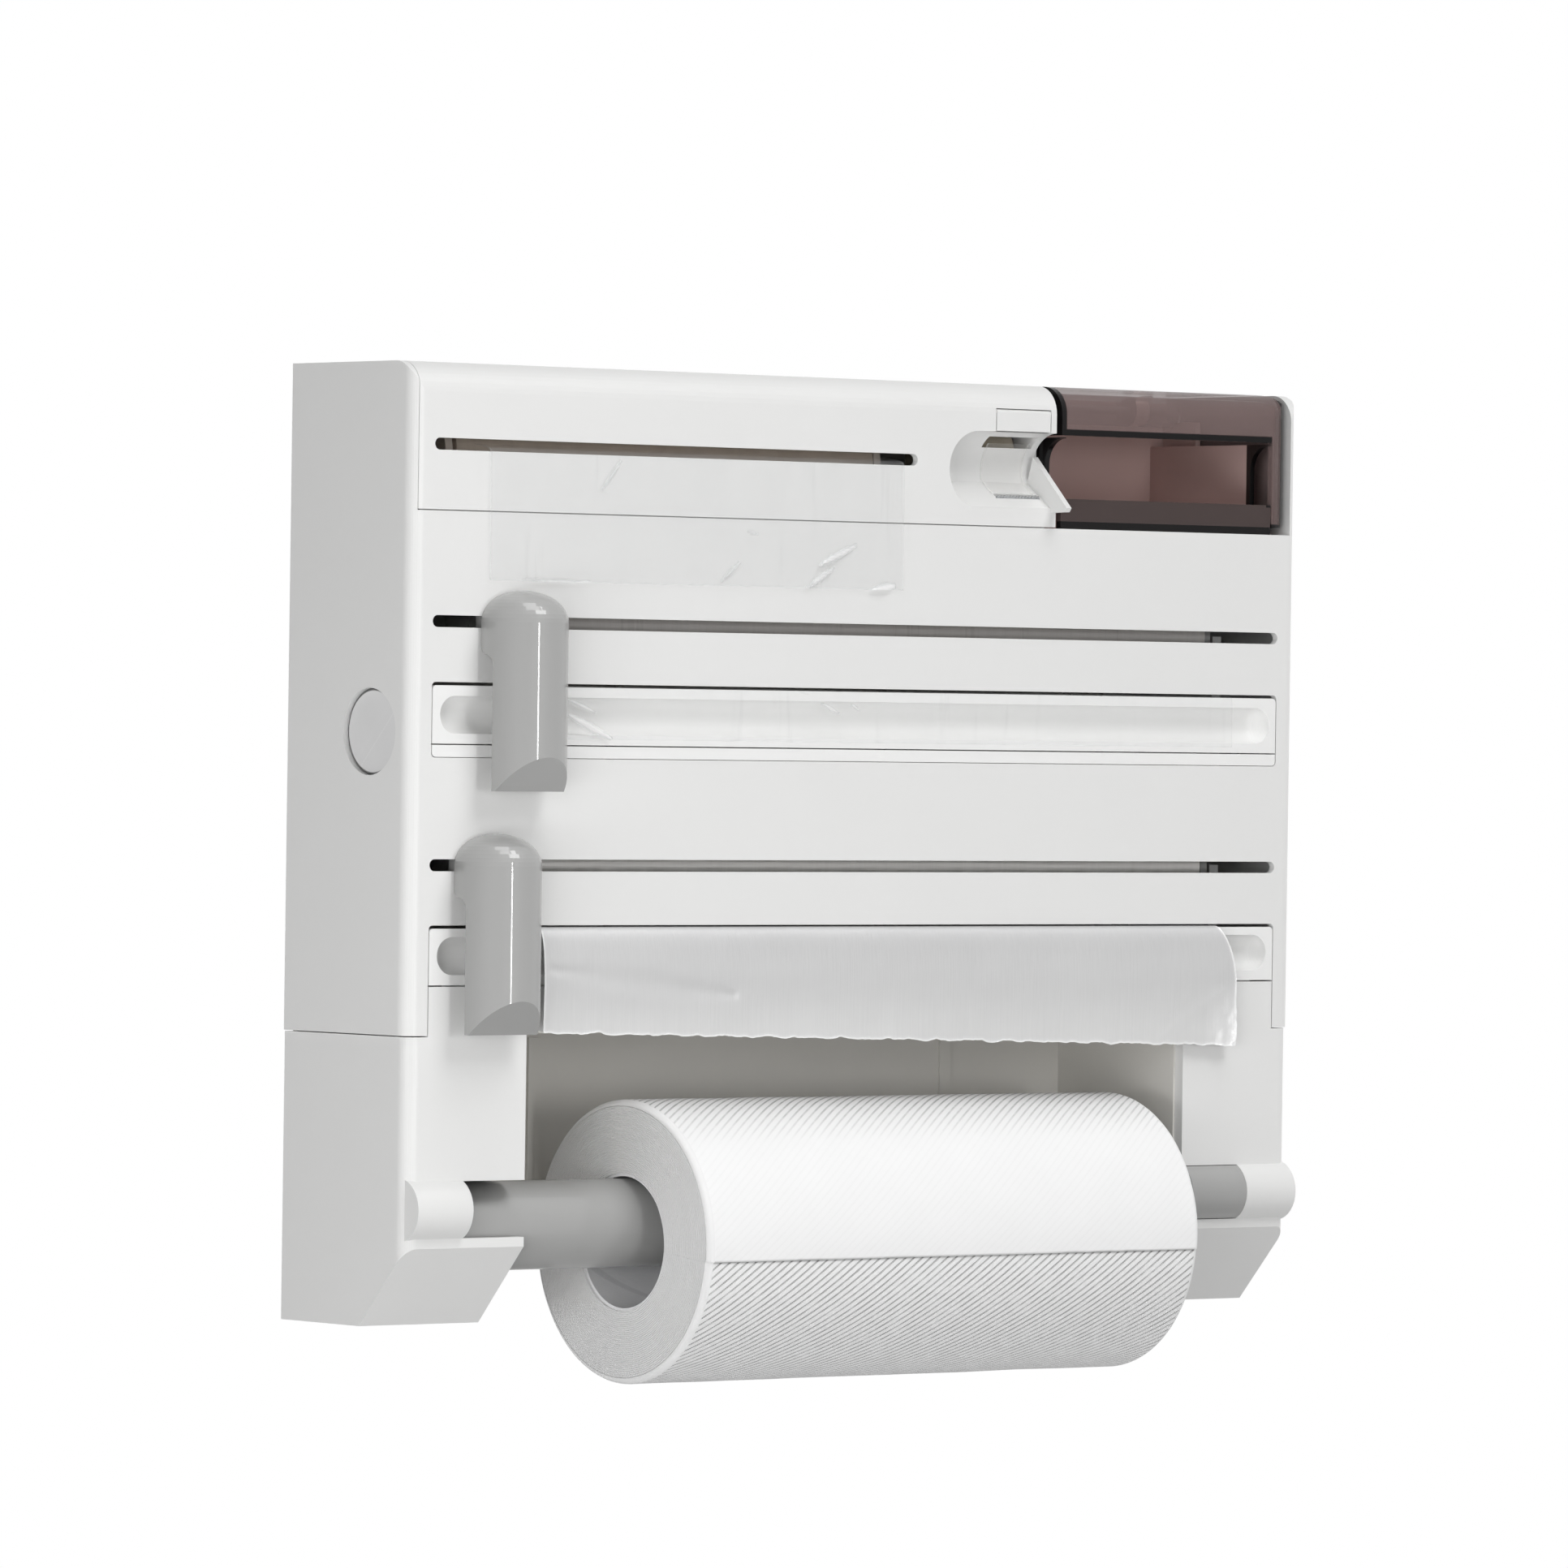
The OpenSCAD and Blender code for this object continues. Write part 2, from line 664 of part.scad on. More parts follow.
// Moulded cover with front, sides and rear top strip
module front_cover() {
    color(white) {
        difference() {
            housing(0, -1, -seam_drop);
            housing(wall_t, 5, -seam_drop - 5);
            bx([-hw + wall_t + 0.1, fy - 10, crease_z], [part_x, hinge_y + barrel_r + 0.4, top_z + 5]);
            bx([part_x - 0.1, fy - 10, crease_z], [hw + 5, 5, top_z + 5]);
            yslot(-slot_end, slot_end, film_slot_z, slot_h);
            yslot(-slot_end, slot_end, foil_slot_z, slot_h);
            yplate([-slot_end, fy - 1, strip_low], [slot_end, fin + 1, film_top], panel_r, panel_r);
            yplate([-slot_end, fy - 1, -seam_drop - 5], [slot_end, fin + 1, foil_top], 0, panel_r);
            both() xcyl(button_bore / 2, hw - wall_t - 1, hw + 1, button_y, button_z);
        }
        for (z = [film_slot_z, foil_slot_z], s = [-1, 1]) {
            bx([-slot_end - 3, fin - 0.1, z + s * 7 - 1], [slot_end + 3, fin + 3.2, z + s * 7 + 1]);
        }
        both() collar();
        intersection() {
            housing(0, -1, 0);
            bx([hood_x + 0.4, fy - 5, crease_z - 2.5], [hw + 1, 5, top_z + 1]);
        }
        bx([-hw + wall_t - 0.1, fin - 0.1, crease_z - 3], [part_x + 0.1, fin + 0.1, crease_z]);
        bx([-hw + wall_t - 0.1, fin + 0.05, crease_z - 3], [part_x + 0.1, fin + 1.6, crease_z]);
        bx([lid_x0 + 2, fin + 0.1, crease_z - 1], [lid_x1 - 3, fin + 1.6, crease_z + 1.2]);
        bx([part_x, fin - 0.1, crease_z - 2.5], [hw - wall_t + 0.1, -3, crease_z]);
        bx([part_x, -56, crease_z - 2.5], [part_x + 1.6, -plate_t - 0.4, top_z - 0.5]);
        bx([-hw + 1, -5.6, hinge_z - barrel_r], [part_x + 1.6, -3.2, top_z - 1]);
        for (x = LUGS) {
            lug(x);
        }
    }
}

// Trough below the film slit
module film_trough() {
    mid = (film_top + strip_top) / 2 - 0.5;
    color(white) difference() {
        union() {
            yplate([-panel_x, fy, strip_top + 0.2], [panel_x, fin, film_top - web_slit], 0, panel_r);
            both() bx([slot_end - 6, fin, strip_top + 0.2], [slot_end + 4, fin + 2, film_top - web_slit]);
            intersection() {
                hollow(grip_r + 2, mid);
                bx([-hw, fy + 0.5, strip_top + 0.2], [hw, 0, film_top - web_slit]);
            }
        }
        hollow(grip_r, mid);
    }
}

// Strip that the film blade runs along
module cut_strip() {
    color(white) {
        yplate([-panel_x, fy, strip_low + joint_gap / 2], [panel_x, fin, strip_top - 0.2], panel_r, 0);
        both() bx([slot_end - 6, fin, strip_low + 0.2], [slot_end + 4, fin + 2, strip_top - 0.2]);
    }
}

// Hanging end of the film
module film_sheet() {
    z = film_top - web_slit / 2;
    color([0.85, 0.87, 0.9]) xprism(roll_x0, roll_x1, web_pts([[fin + 4, z], [fin - 1.6, z],
        [fy - 0.5, z - 0.5],
        [fy - 0.9, z - 2.5], [fy - 1, z - 8], [fy - 0.9, strip_top + 1.8]], web_t));
}

// Hanging end of the foil, torn off at a slant
module foil_sheet() {
    z = foil_top - web_slit / 2;
    color(steel) difference() {
        xprism(roll_x0, roll_x1 + 1, web_pts([[fin + 4, z], [fin - 1.4, z], [fy - 0.9, z - 0.5],
            [fy - 2.1, z - 2.2], [fy - 3.1, z - 6], [fy - 3.6, z - 12], [fy - 3.7, z - 20],
            [fy - 3.5, z - 30], [fy - 3.3, z - 43.2]], web_t));
        translate([roll_x0, fy - 30, z - 35.8]) rotate([0, 1.27, 0]) bx([-20, 0, -40], [roll_len + 40, 40, 0]);
    }
}

// Hinge pin of the lid
module lid_pin() {
    color(steel) xcyl(pin_r, -hw + 6, lid_x1 - 2.7, hinge_y, hinge_z);
}

// Hinge pin of the hood
module hood_pin() {
    color(steel) xcyl(pin_r, HOOD_LUGS[0] - 8, HOOD_LUGS[1] + 14, hinge_y, hinge_z);
}

// One side wall of the tray with its scooped front edge
module tray_side(x) {
    difference() {
        bx([x, fy + 0.2, crease_z + 0.3], [x + 2, -4, visor_z - 0.7]);
        xcyl(tray_cove, x - 1, x + 3, fy, visor_z - 1 - tray_cove);
        bx([x - 1, fy - 1, tray_lip], [x + 3, fy + tray_cove, visor_z - 1 - tray_cove]);
    }
}

// Smoked tray with floor, back, lip and sides
module bin_tray() {
    color(smoke) {
        bx([bin_x0, fy + 0.2, crease_z], [tray_x1, -4, crease_z + 2]);
        bx([tray_x1 - 0.1, fy + hood_r, crease_z], [hood_x - 3, -4, crease_z + 2]);
        bx([bin_x0, fy + 0.2, crease_z + 1.9], [tray_x1, fy + 2.2, tray_lip]);
        bx([bin_x0, -6, crease_z + 1.9], [hood_x - 3, -4, top_z - 2]);
        bx([hood_x - 5.2, -24, crease_z + 1.9], [hood_x - 3, -4, top_z - 9]);
        tray_side(bin_x0);
        tray_side(tray_x1 - 2);
        for (x = HOOD_LUGS) {
            lug_smoke(x);
        }
    }
}

// Hinge lug of the tray
module lug_smoke(x) {
    difference() {
        union() {
            xcyl(barrel_r - 0.4, x, x + lug_w, hinge_y, hinge_z);
            bx([x, hinge_y, hinge_z - 3.5], [x + lug_w, -4.1, hinge_z + 3.5]);
        }
        xcyl(pin_r + 0.02, x - 1, x + lug_w + 1, hinge_y, hinge_z);
    }
}

// Outline of the hood seen from above, at an inset
function hood_plan(off) =
    concat([[bin_x0 + off, 20], [bin_x0 + off, fy + off]],
        arc(hood_x - hood_r, fy + hood_r, hood_r - off, 270, 360), [[hood_x - off, 20]]);

// Block of the hood at an inset from its outer faces
module hood_block(off) {
    intersection() {
        xprism(bin_x0 - 1, hood_x + 1, side_pts(off, 20, 50));
        zprism(40, top_z + 1, hood_plan(off));
        yplate([bin_x0 - 40, fy - 5, 40], [hood_x - off, 25, top_z - off], 0, hood_top_r - off);
    }
}

// Smoked hood with visor, right wall and hinge barrel
module bin_hood() {
    color(smoke) difference() {
        union() {
            difference() {
                hood_block(0);
                hood_block(2.2);
                bx([bin_x0 - 5, fy - 5, 0], [tray_x1 + 0.4, 20, visor_z]);
                bx([bin_x0 - 5, hinge_y, 0], [hood_x + 5, 30, top_z + 5]);
                bx([bin_x0 - 5, fy - 5, 0], [hood_x + 5, 30, crease_z + 2.6]);
            }
            xcyl(barrel_r, bin_x0, hood_x - hood_top_r, hinge_y, hinge_z);
        }
        xcyl(pin_r + 0.06, bin_x0 - 1, hood_x - hood_top_r - 1.7, hinge_y, hinge_z);
        for (x = HOOD_LUGS) {
            bx([x - 0.5, hinge_y - barrel_r - 0.5, hinge_z - 8], [x + lug_w + 0.5, 10, top_z + 5]);
        }
    }
}

// Scoop of the tape unit at a radius
module scoop(r) {
    translate([0, fy, scoop_z]) rotate([0, 90, 0]) rotate_extrude()
        polygon(concat([[0, scoop_x - r]], arc(0, scoop_x, r, -81, 0, 9), [[r, lid_x1 + 1], [0, lid_x1 + 1]]));
}

// Lid with the bag slot, tape scoop, shelf, fin and hinge barrel
module top_lid() {
    color(white) difference() {
        union() {
            difference() {
                union() {
                    difference() {
                        intersection() {
                            housing(0, 20, 0);
                            bx([lid_x0, fy - 5, crease_z + joint_gap], [lid_x1, hinge_y, top_z + 5]);
                        }
                        intersection() {
                            housing(wall_t, 25, -5);
                            bx([lid_x0 + 1.5, fy, -50], [lid_x1 - 2.5, 30, top_z + 5]);
                        }
                    }
                    intersection() {
                        scoop(scoop_r + 2);
                        bx([scoop_x - 28, fy + 0.5, crease_z + joint_gap], [lid_x1, 0, top_z - 5]);
                    }
                }
                scoop(scoop_r);
                bx([scoop_x + 9.7, fy + 5, scoop_z + 8], [lid_x1 - 2.6, fy + 20, scoop_z + 11.8]);
            }
            xprism(scoop_x - 6, lid_x1 - 2, [shelf_top, shelf_low, [fy + 0.5, lip - 1.2],
                [fy + 12.6, lip - 1.2]]);
            xprism(lid_x1 - 2.2, lid_x1, [[fy + 10, scoop_z + 5.2], [fy - ramp_reach, lip + 0.7],
                [fy - ramp_reach + 1, lip - 0.7], [fy + 0.6, lip - 0.9], [fy + 13.4, scoop_z - 5]]);
            xcyl(barrel_r, lid_x0, lid_x1, hinge_y, hinge_z);
            xcyl(4, tape_x - 1.5, lid_x1 - 2.4, tape_y, tape_z);
        }
        yslot(-slot_end, bag_slot_right, bag_slot_z, slot_h);
        xcyl(pin_r + 0.06, -hw + 5, lid_x1 - 1.7, hinge_y, hinge_z);
        for (x = LUGS) {
            bx([x - 0.5, hinge_y - barrel_r - 0.5, hinge_z - 8], [x + lug_w + 0.5, 10, top_z + 5]);
        }
        bx([hatch_x0 - 0.4, fy - 1, visor_z + 0.4], [hatch_x1 + 0.4, fin + 0.6, 130.5]);
        xcyl(0.9, hatch_x0 - 1.5, hatch_x1 + 1.5, fy + 1.1, 129.2);
        shelf_place() translate([lid_x1 - 22.9, -1, -1]) cube([19.8, 2.6, 2]);
    }
}

// Place on the shelf near its lip, with Y up the shelf and Z out of it
module shelf_place() {
    rise = shelf_top - shelf_low;
    translate([0, shelf_low[0], shelf_low[1]]) rotate([atan2(rise[1], rise[0]), 0, 0])
        translate([0, 6.5, 0]) children();
}

// Serrated blade in the shelf
module tape_blade() {
    x0 = lid_x1 - 22.7;
    w = 19.4;
    teeth = [for (i = [0 : 28]) [x0 + w * i / 28, i % 2 == 0 ? 0.2 : 1]];
    color(steel) shelf_place() translate([0, -0.4, -1]) rotate([90, 0, 0]) linear_extrude(0.5)
        polygon(concat([[x0 + w, -0], [x0, -0]], [for (p = teeth) [p[0], p[1] + 1]]));
}

// Loose end of the tape, down the scoop and over the shelf to the blade
module tape_strip() {
    run = unit(shelf_low - shelf_top);
    lift = 0.25 * [run[1], -run[0]];
    color([0.9, 0.9, 0.86]) xprism(tape_x + 0.7, lid_x1 - 4.6,
        web_pts(concat(arc(fy, scoop_z, scoop_r - 0.25, 46, -14, 8),
            [shelf_top + 2 * run + lift, shelf_top + 7.2 * run + lift]), 0.2));
}

// Hanging bag
module bag_sheet() {
    z = bag_slot_z;
    color([0.85, 0.87, 0.9]) xprism(bag_x0 + 1.5, bag_x1, web_pts([[fin + 6, z + 0.6], [fin, z - 0.3],
        [fy - 0.3, z - 1.3],
        [fy - 0.7, z - 3.2], [fy - 0.8, z - 12], [fy - 0.8, z - 30], [fy - 0.9, z - 45.2]], web_t));
}

// Hub of the tape reel
module tape_reel() {
    color(grey) xtube(12.7, 4.08, tape_x, lid_x1 - 3.7, tape_y, tape_z);
}

// Wound tape
module tape_winding() {
    color([0.88, 0.86, 0.76]) xtube(tape_d / 2, 12.7, tape_x + 0.5, lid_x1 - 4.2, tape_y, tape_z);
}

// Little hatch above the scoop
module tape_hatch() {
    color(white) {
        bx([hatch_x0, fy, visor_z + 0.8], [hatch_x1, fy + 2.2, 129.2]);
        xcyl(1.1, hatch_x0, hatch_x1, fy + 1.1, 129.2, $fn = 24);
        xcyl(0.82, hatch_x0 - 1.2, hatch_x1 + 1.2, fy + 1.1, 129.2, $fn = 24);
    }
}

// Cutter housing with dome, flat back, raised arm and slanted foot
module cutter(xc, zs) {
    back = fy - 0.3;
    q = (arm_gap - 0.3) / 2;
    dome = [for (t = [0 : 7.5 : 90]) [cutter_r * cos(t), cutter_dome * sin(t)]];
    difference() {
        translate([xc, back - cutter_off, zs]) rotate_extrude($fn = 64)
            polygon(concat([[0, -cutter_drop], [cutter_r, -cutter_drop]], dome));
        bx([xc - 30, back, zs - 80], [xc + 30, 0, zs + 30]);
        xprism(xc - 30, xc + 30, concat([[5, zs - 80], [fy - arm_gap, zs - 80]],
            arc(fy - arm_gap + q, zs - 10.7 - q, q, 180, 90, 6), arc(back - q, zs - 10.7 + q, q, -90, 0, 6),
            [[5, zs - 10.7 + q]]));
        xprism(xc - 30, xc + 30, [[fy - arm_gap - 1.5, zs - cutter_drop], [fy - 30, zs - cutter_drop + 22],
            [fy - 30, zs - 80], [fy - arm_gap - 1.5, zs - 80]]);
        bx([xc - 8, fy - 6.3, zs - 1.6], [xc + 8, 0, zs + 1.6]);
        bx([xc - 6, fy - arm_gap - 8, zs - blade_drop - 0.25], [xc + 6, 0, zs - blade_drop + 0.25]);
    }
}

// Slider behind the front wall, with the neck through the slot
module carriage(xc, zs) {
    bx([xc - 12, fin + 0.3, zs - 5.6], [xc + 12, fin + 3, zs + 5.6]);
    bx([xc - 8, fy - 6.3, zs - 1.6], [xc + 8, fin + 0.4, zs + 1.6]);
}

// Pointed blade in the arm
module blade(xc, zs) {
    translate([xc, fy - arm_gap, zs - blade_drop - 0.25]) linear_extrude(0.5)
        polygon([[-6, -8], [6, -8], [6, -0.5], [0, 3.3], [-6, -0.5]]);
}

module upper_cutter() {
    color(grey) cutter(film_cutter_x, film_slot_z);
}

module upper_carriage() {
    color(white) carriage(film_cutter_x, film_slot_z);
}

module upper_blade() {
    color(steel) blade(film_cutter_x, film_slot_z);
}

module lower_cutter() {
    color(grey) cutter(foil_cutter_x, foil_slot_z);
}

module lower_carriage() {
    color(white) carriage(foil_cutter_x, foil_slot_z);
}

module lower_blade() {
    color(steel) blade(foil_cutter_x, foil_slot_z);
}

// Release button with cap, stem and keeper, on the right
module button() {
    xcyl(button_bore / 2 - 0.4, hw - 4.4, hw - 1.7, button_y, button_z);
    xcyl(6, web_in - 1.9, hw - 4.3, button_y, button_z);
    xcyl(7, web_in - 2, web_in - 0.6, button_y, button_z);
}

module left_button() {
    color(white) mirror([1, 0, 0]) button();
}

module right_button() {
    color(white) button();
}

// Return spring of a button, on the right
module button_spring() {
    translate([0, button_y, button_z]) coil(web_in + 1.5, hw - 4.4, 8.4, 0.35, 3, 14, 6);
}

module left_spring() {
    color(steel) mirror([1, 0, 0]) button_spring();
}

module right_spring() {
    color(steel) button_spring();
}

wall_plate();
lower_base();
bay_liner();
foil_trough();
left_bracket();
right_bracket();
bag_bracket();
frame_screws();
left_latch();
right_latch();
rod_sleeve();
rod_spring();
rod_tube();
paper_roll();
paper_core();
film_winding();
film_core();
film_plugs();
foil_winding();
foil_core();
foil_plugs();
bag_winding();
bag_core();
bag_plugs();
front_cover();
film_trough();
cut_strip();
film_sheet();
foil_sheet();
lid_pin();
hood_pin();
bin_tray();
bin_hood();
top_lid();
tape_blade();
tape_strip();
bag_sheet();
tape_reel();
tape_winding();
tape_hatch();
upper_cutter();
upper_carriage();
upper_blade();
lower_cutter();
lower_carriage();
lower_blade();
left_button();
right_button();
left_spring();
right_spring();
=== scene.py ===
"""Looks of a wall-mounted dispenser for kitchen rolls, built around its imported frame."""

from __future__ import annotations

import logging
import math
from dataclasses import dataclass, field
from enum import Enum

import bmesh
import bpy
import numpy as np
from mathutils import Matrix, Vector

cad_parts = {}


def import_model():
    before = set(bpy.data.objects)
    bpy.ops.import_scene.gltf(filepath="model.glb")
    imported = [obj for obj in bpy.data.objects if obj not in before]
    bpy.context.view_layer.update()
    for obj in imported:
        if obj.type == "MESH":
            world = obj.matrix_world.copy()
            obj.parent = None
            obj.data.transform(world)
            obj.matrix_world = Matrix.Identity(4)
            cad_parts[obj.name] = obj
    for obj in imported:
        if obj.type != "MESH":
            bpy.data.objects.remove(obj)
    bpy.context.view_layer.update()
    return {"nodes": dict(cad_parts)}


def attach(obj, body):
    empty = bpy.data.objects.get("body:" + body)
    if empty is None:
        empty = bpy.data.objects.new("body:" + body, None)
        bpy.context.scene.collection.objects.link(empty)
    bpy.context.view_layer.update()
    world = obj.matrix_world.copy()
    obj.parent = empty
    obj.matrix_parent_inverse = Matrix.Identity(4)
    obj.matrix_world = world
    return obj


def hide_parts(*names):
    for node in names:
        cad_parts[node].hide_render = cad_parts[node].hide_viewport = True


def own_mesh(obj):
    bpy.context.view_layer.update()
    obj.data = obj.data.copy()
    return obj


LOG = logging.getLogger("dispenser")
MM = 0.001
PLASTIC_IOR = 1.46
# Places in millimetres that several pieces share
BUTTON_Y, BUTTON_Z = -46.8, 16.3
WEB_X0, WEB_X1 = -140.5, 164.5
ROLLS_Y, ROLLS_BORE = -36.0, 14.5
TURN = 2 * math.pi
WHITE = (1.0, 1.0, 1.0, 1.0)
Colour = tuple[float, float, float]
Spot = tuple[float, float, float]
SideLine = tuple[tuple[float, float], ...]


def linear(red: float, green: float, blue: float) -> Colour:
    """The linear colour of three display values from 0 to 255."""
    tones = (v / 255 for v in (red, green, blue))
    return tuple(t / 12.92 if t <= 0.04045 else ((t + 0.055) / 1.055) ** 2.4 for t in tones)


def times(colour: Colour, factor: float) -> Colour:
    """A colour made lighter or darker, up to white."""
    return tuple(min(1.0, c * factor) for c in colour)


class Sock:
    """A shader socket that takes part in Python expressions."""

    def __init__(self, graph: Graph, socket: bpy.types.NodeSocket) -> None:
        """Keeps the socket and the graph that new nodes go into."""
        self.graph = graph
        self.socket = socket

    def math(self, operation: str, first: Sock | float, second: Sock | float = 0.0) -> Sock:
        """Adds one Math node.

        Args:
            operation: The node's operation.
            first: First value or link.
            second: Second value or link.

        Returns:
            The node's result.
        """
        return self.graph.add("ShaderNodeMath", {"operation": operation}, {0: first, 1: second})

    def __add__(self, other: Sock | float) -> Sock:
        """Sum."""
        return self.math("ADD", self, other)

    __radd__ = __add__

    def __sub__(self, other: Sock | float) -> Sock:
        """Difference."""
        return self.math("SUBTRACT", self, other)

    def __rsub__(self, other: float) -> Sock:
        """Reflected difference."""
        return self.math("SUBTRACT", other, self)

    def __mul__(self, other: Sock | float) -> Sock:
        """Product."""
        return self.math("MULTIPLY", self, other)

    __rmul__ = __mul__

    def __truediv__(self, other: Sock | float) -> Sock:
        """Quotient."""
        return self.math("DIVIDE", self, other)

    def __pow__(self, other: Sock | float) -> Sock:
        """Power."""
        return self.math("POWER", self, other)

    def either(self, other: Sock | float) -> Sock:
        """The larger of two values."""
        return self.math("MAXIMUM", self, other)

    def wave(self) -> Sock:
        """Sine of the value."""
        return self.math("SINE", self)

    def size(self) -> Sock:
        """The value without its sign."""
        return self.math("ABSOLUTE", self)

    def between(self, low: float, high: float) -> Sock:
        """A smooth step of the value.

        Args:
            low: Value where the step is 0.
            high: Value where the step is 1; below low, the step falls.

        Returns:
            The step, from 0 to 1.
        """
        near, far, start, end = (low, high, 0.0, 1.0) if low < high else (high, low, 1.0, 0.0)
        return self.graph.add(
            "ShaderNodeMapRange",
            {"interpolation_type": "SMOOTHSTEP"},
            {"Value": self, "From Min": near, "From Max": far, "To Min": start, "To Max": end},
        )


class Graph:
    """A node tree that finishes and lights are written into."""

    def __init__(self, tree: bpy.types.NodeTree, output: str) -> None:
        """Empties the tree and adds its output node."""
        self.tree = tree
        tree.nodes.clear()
        self.output = tree.nodes.new(output)

    def add(
        self,
        kind: str,
        settings: dict[str, object] | None = None,
        inputs: dict[int | str, object] | None = None,
        result: int | str = 0,
    ) -> Sock:
        """Adds any node.

        Args:
            kind: The node's type.
            settings: Properties, set first.
            inputs: Values or links of its sockets.
            result: Which output to give back.

        Returns:
            That output.
        """
        node = self.tree.nodes.new(kind)
        for key, value in (settings or {}).items():
            setattr(node, key, value)
        for key, value in (inputs or {}).items():
            if isinstance(value, Sock):
                self.tree.links.new(value.socket, node.inputs[key])
            else:
                node.inputs[key].default_value = value
        return Sock(self, node.outputs[result])

    def place(self, stretch: Colour = (1.0, 1.0, 1.0)) -> Sock:
        """Place on the piece in millimetres, stretched along its axes."""
        spot = self.add("ShaderNodeTexCoord", result="Object")
        scale = tuple(s / MM for s in stretch)
        return self.add(
            "ShaderNodeVectorMath", {"operation": "MULTIPLY"}, {0: spot, 1: scale}
        )

    def axes(self, vector: Sock) -> tuple[Sock, Sock, Sock]:
        """The three parts of a vector."""
        node = self.add("ShaderNodeSeparateXYZ", inputs={0: vector}).socket.node
        return tuple(Sock(self, s) for s in node.outputs)

    def noise(self, vector: Sock, scale: float, detail: float = 2.0, rough: float = 0.5) -> Sock:
        """Noise from 0 to 1.

        Args:
            vector: Place that it is read at.
            scale: Cells to a millimetre of that place.
            detail: Octaves.
            rough: Weight of the fine octaves.

        Returns:
            The value.
        """
        return self.add(
            "ShaderNodeTexNoise",
            {"noise_dimensions": "3D"},
            {"Vector": vector, "Scale": scale, "Detail": detail, "Roughness": rough},
        )

    def trait(self, name: str) -> Sock:
        """A value that the mesh carries at its points."""
        return self.add("ShaderNodeAttribute", {"attribute_name": name}, result="Fac")

    def blend(self, share: Sock | float, low: Sock | Colour, high: Sock | Colour) -> Sock:
        """Mixes two colours.

        Args:
            share: Share of the second.
            low: First colour.
            high: Second colour.

        Returns:
            The mixed colour.
        """
        ends = [c if isinstance(c, Sock) else (*c, 1.0) for c in (low, high)]
        return self.add(
            "ShaderNodeMix", {"data_type": "RGBA"}, {0: share, 6: ends[0], 7: ends[1]}, result=2
        )

    def bump(self, height: Sock, depth: float, under: Sock | None = None) -> Sock:
        """Turns heights into a normal.

        Args:
            height: Height from 0 to 1.
            depth: Millimetres that 1 stands for.
            under: A normal that this one lies on.

        Returns:
            The normal.
        """
        links = {"Height": height, "Distance": depth * MM, "Strength": 1.0}
        if under is not None:
            links["Normal"] = under
        return self.add("ShaderNodeBump", {}, links)

    def surface(self, **sockets: object) -> Sock:
        """Adds the main shader, with spaces in socket names written as underscores."""
        named = {k.replace("_", " "): v for k, v in sockets.items()}
        if "Base Color" in named and not isinstance(named["Base Color"], Sock):
            named["Base Color"] = (*named["Base Color"], 1.0)
        return self.add("ShaderNodeBsdfPrincipled", inputs=named)

    def close(self, shader: Sock) -> None:
        """Links the shader to the output."""
        self.tree.links.new(shader.socket, self.output.inputs["Surface"])


@dataclass(frozen=True)
class Finish:
    """A finish that can be built as a material."""

    name: str

    def write(self, graph: Graph) -> Sock:
        """Writes the finish's nodes and returns its shader."""
        raise NotImplementedError

    def build(self) -> bpy.types.Material:
        """Builds the material."""
        material = bpy.data.materials.new(self.name)
        material.use_nodes = True
        graph = Graph(material.node_tree, "ShaderNodeOutputMaterial")
        graph.close(self.write(graph))
        return material


@dataclass(frozen=True)
class MouldedPlastic(Finish):
    """Injection-moulded plastic with a fine grain, slow drift of tone and faint flow marks."""

    colour: Colour
    roughness: float = 0.38
    grain: float = 0.010
    drift: float = 0.02
    coat: float = 0.0
    flow: float = 0.05
    coat_rough: float = 0.12

    def write(self, graph: Graph) -> Sock:
        """Writes the plastic's nodes."""
        spot = graph.place()
        slow = graph.noise(spot, 0.018, 3.0)
        fine = graph.noise(spot, 1.6, 2.0, 0.6)
        flow = graph.noise(graph.place((0.05, 0.3, 0.9)), 0.35, 3.0, 0.6)
        specks = graph.noise(spot, 0.45, 4.0, 0.75).between(0.66, 0.72)
        dark, light = (times(self.colour, 1 + d) for d in (-self.drift, self.drift))
        tone = graph.blend(slow, dark, light)
        return graph.surface(
            Base_Color=graph.blend(specks * 0.35, tone, times(self.colour, 0.97)),
            Roughness=self.roughness + self.flow * (flow - 0.5) + 0.04 * specks,
            Normal=graph.bump(0.7 * fine + 0.3 * flow, self.grain),
            IOR=PLASTIC_IOR,
            Coat_Weight=self.coat,
            Coat_Roughness=self.coat_rough,
        )


@dataclass(frozen=True)
class ButtonFace(Finish):
    """Plastic disc with a dark rim of painted shade, where it meets its bore, and faint painted
    highlights across it.
    """

    colour: Colour
    # colour of the painted shade at the disc's edge
    rim: Colour
    centre: tuple[float, float]
    radius: float

    def write(self, graph: Graph) -> Sock:
        """Writes the disc's nodes."""
        spot = graph.place()
        _x, y, z = graph.axes(spot)
        ahead, above = y - self.centre[0], z - self.centre[1]
        reach = (ahead * ahead + above * above) ** 0.5
        # painted shade: a dark ring at the edge of the disc, where it meets its bore
        edge = reach.between(self.radius - 0.75, self.radius - 0.3)
        # painted highlights: two faint diagonal streaks across the disc, lighter and less rough
        across = (ahead + above) * 0.7071
        second = (across + 3.4).size().between(0.35, 0.1) * 0.7
        painted_glint = across.size().between(0.5, 0.15).either(second)
        fine = graph.noise(spot, 1.6, 2.0, 0.6)
        slow = graph.noise(spot, 0.05, 3.0)
        plain = graph.blend(slow, times(self.colour, 0.96), self.colour)
        tone = graph.blend(painted_glint * 0.5, plain, times(self.colour, 1.12))
        return graph.surface(
            Base_Color=graph.blend(edge, tone, self.rim),
            Roughness=0.34 + 0.06 * (slow - 0.5) - 0.08 * painted_glint,
            Normal=graph.bump(fine, 0.01),
            IOR=PLASTIC_IOR,
        )


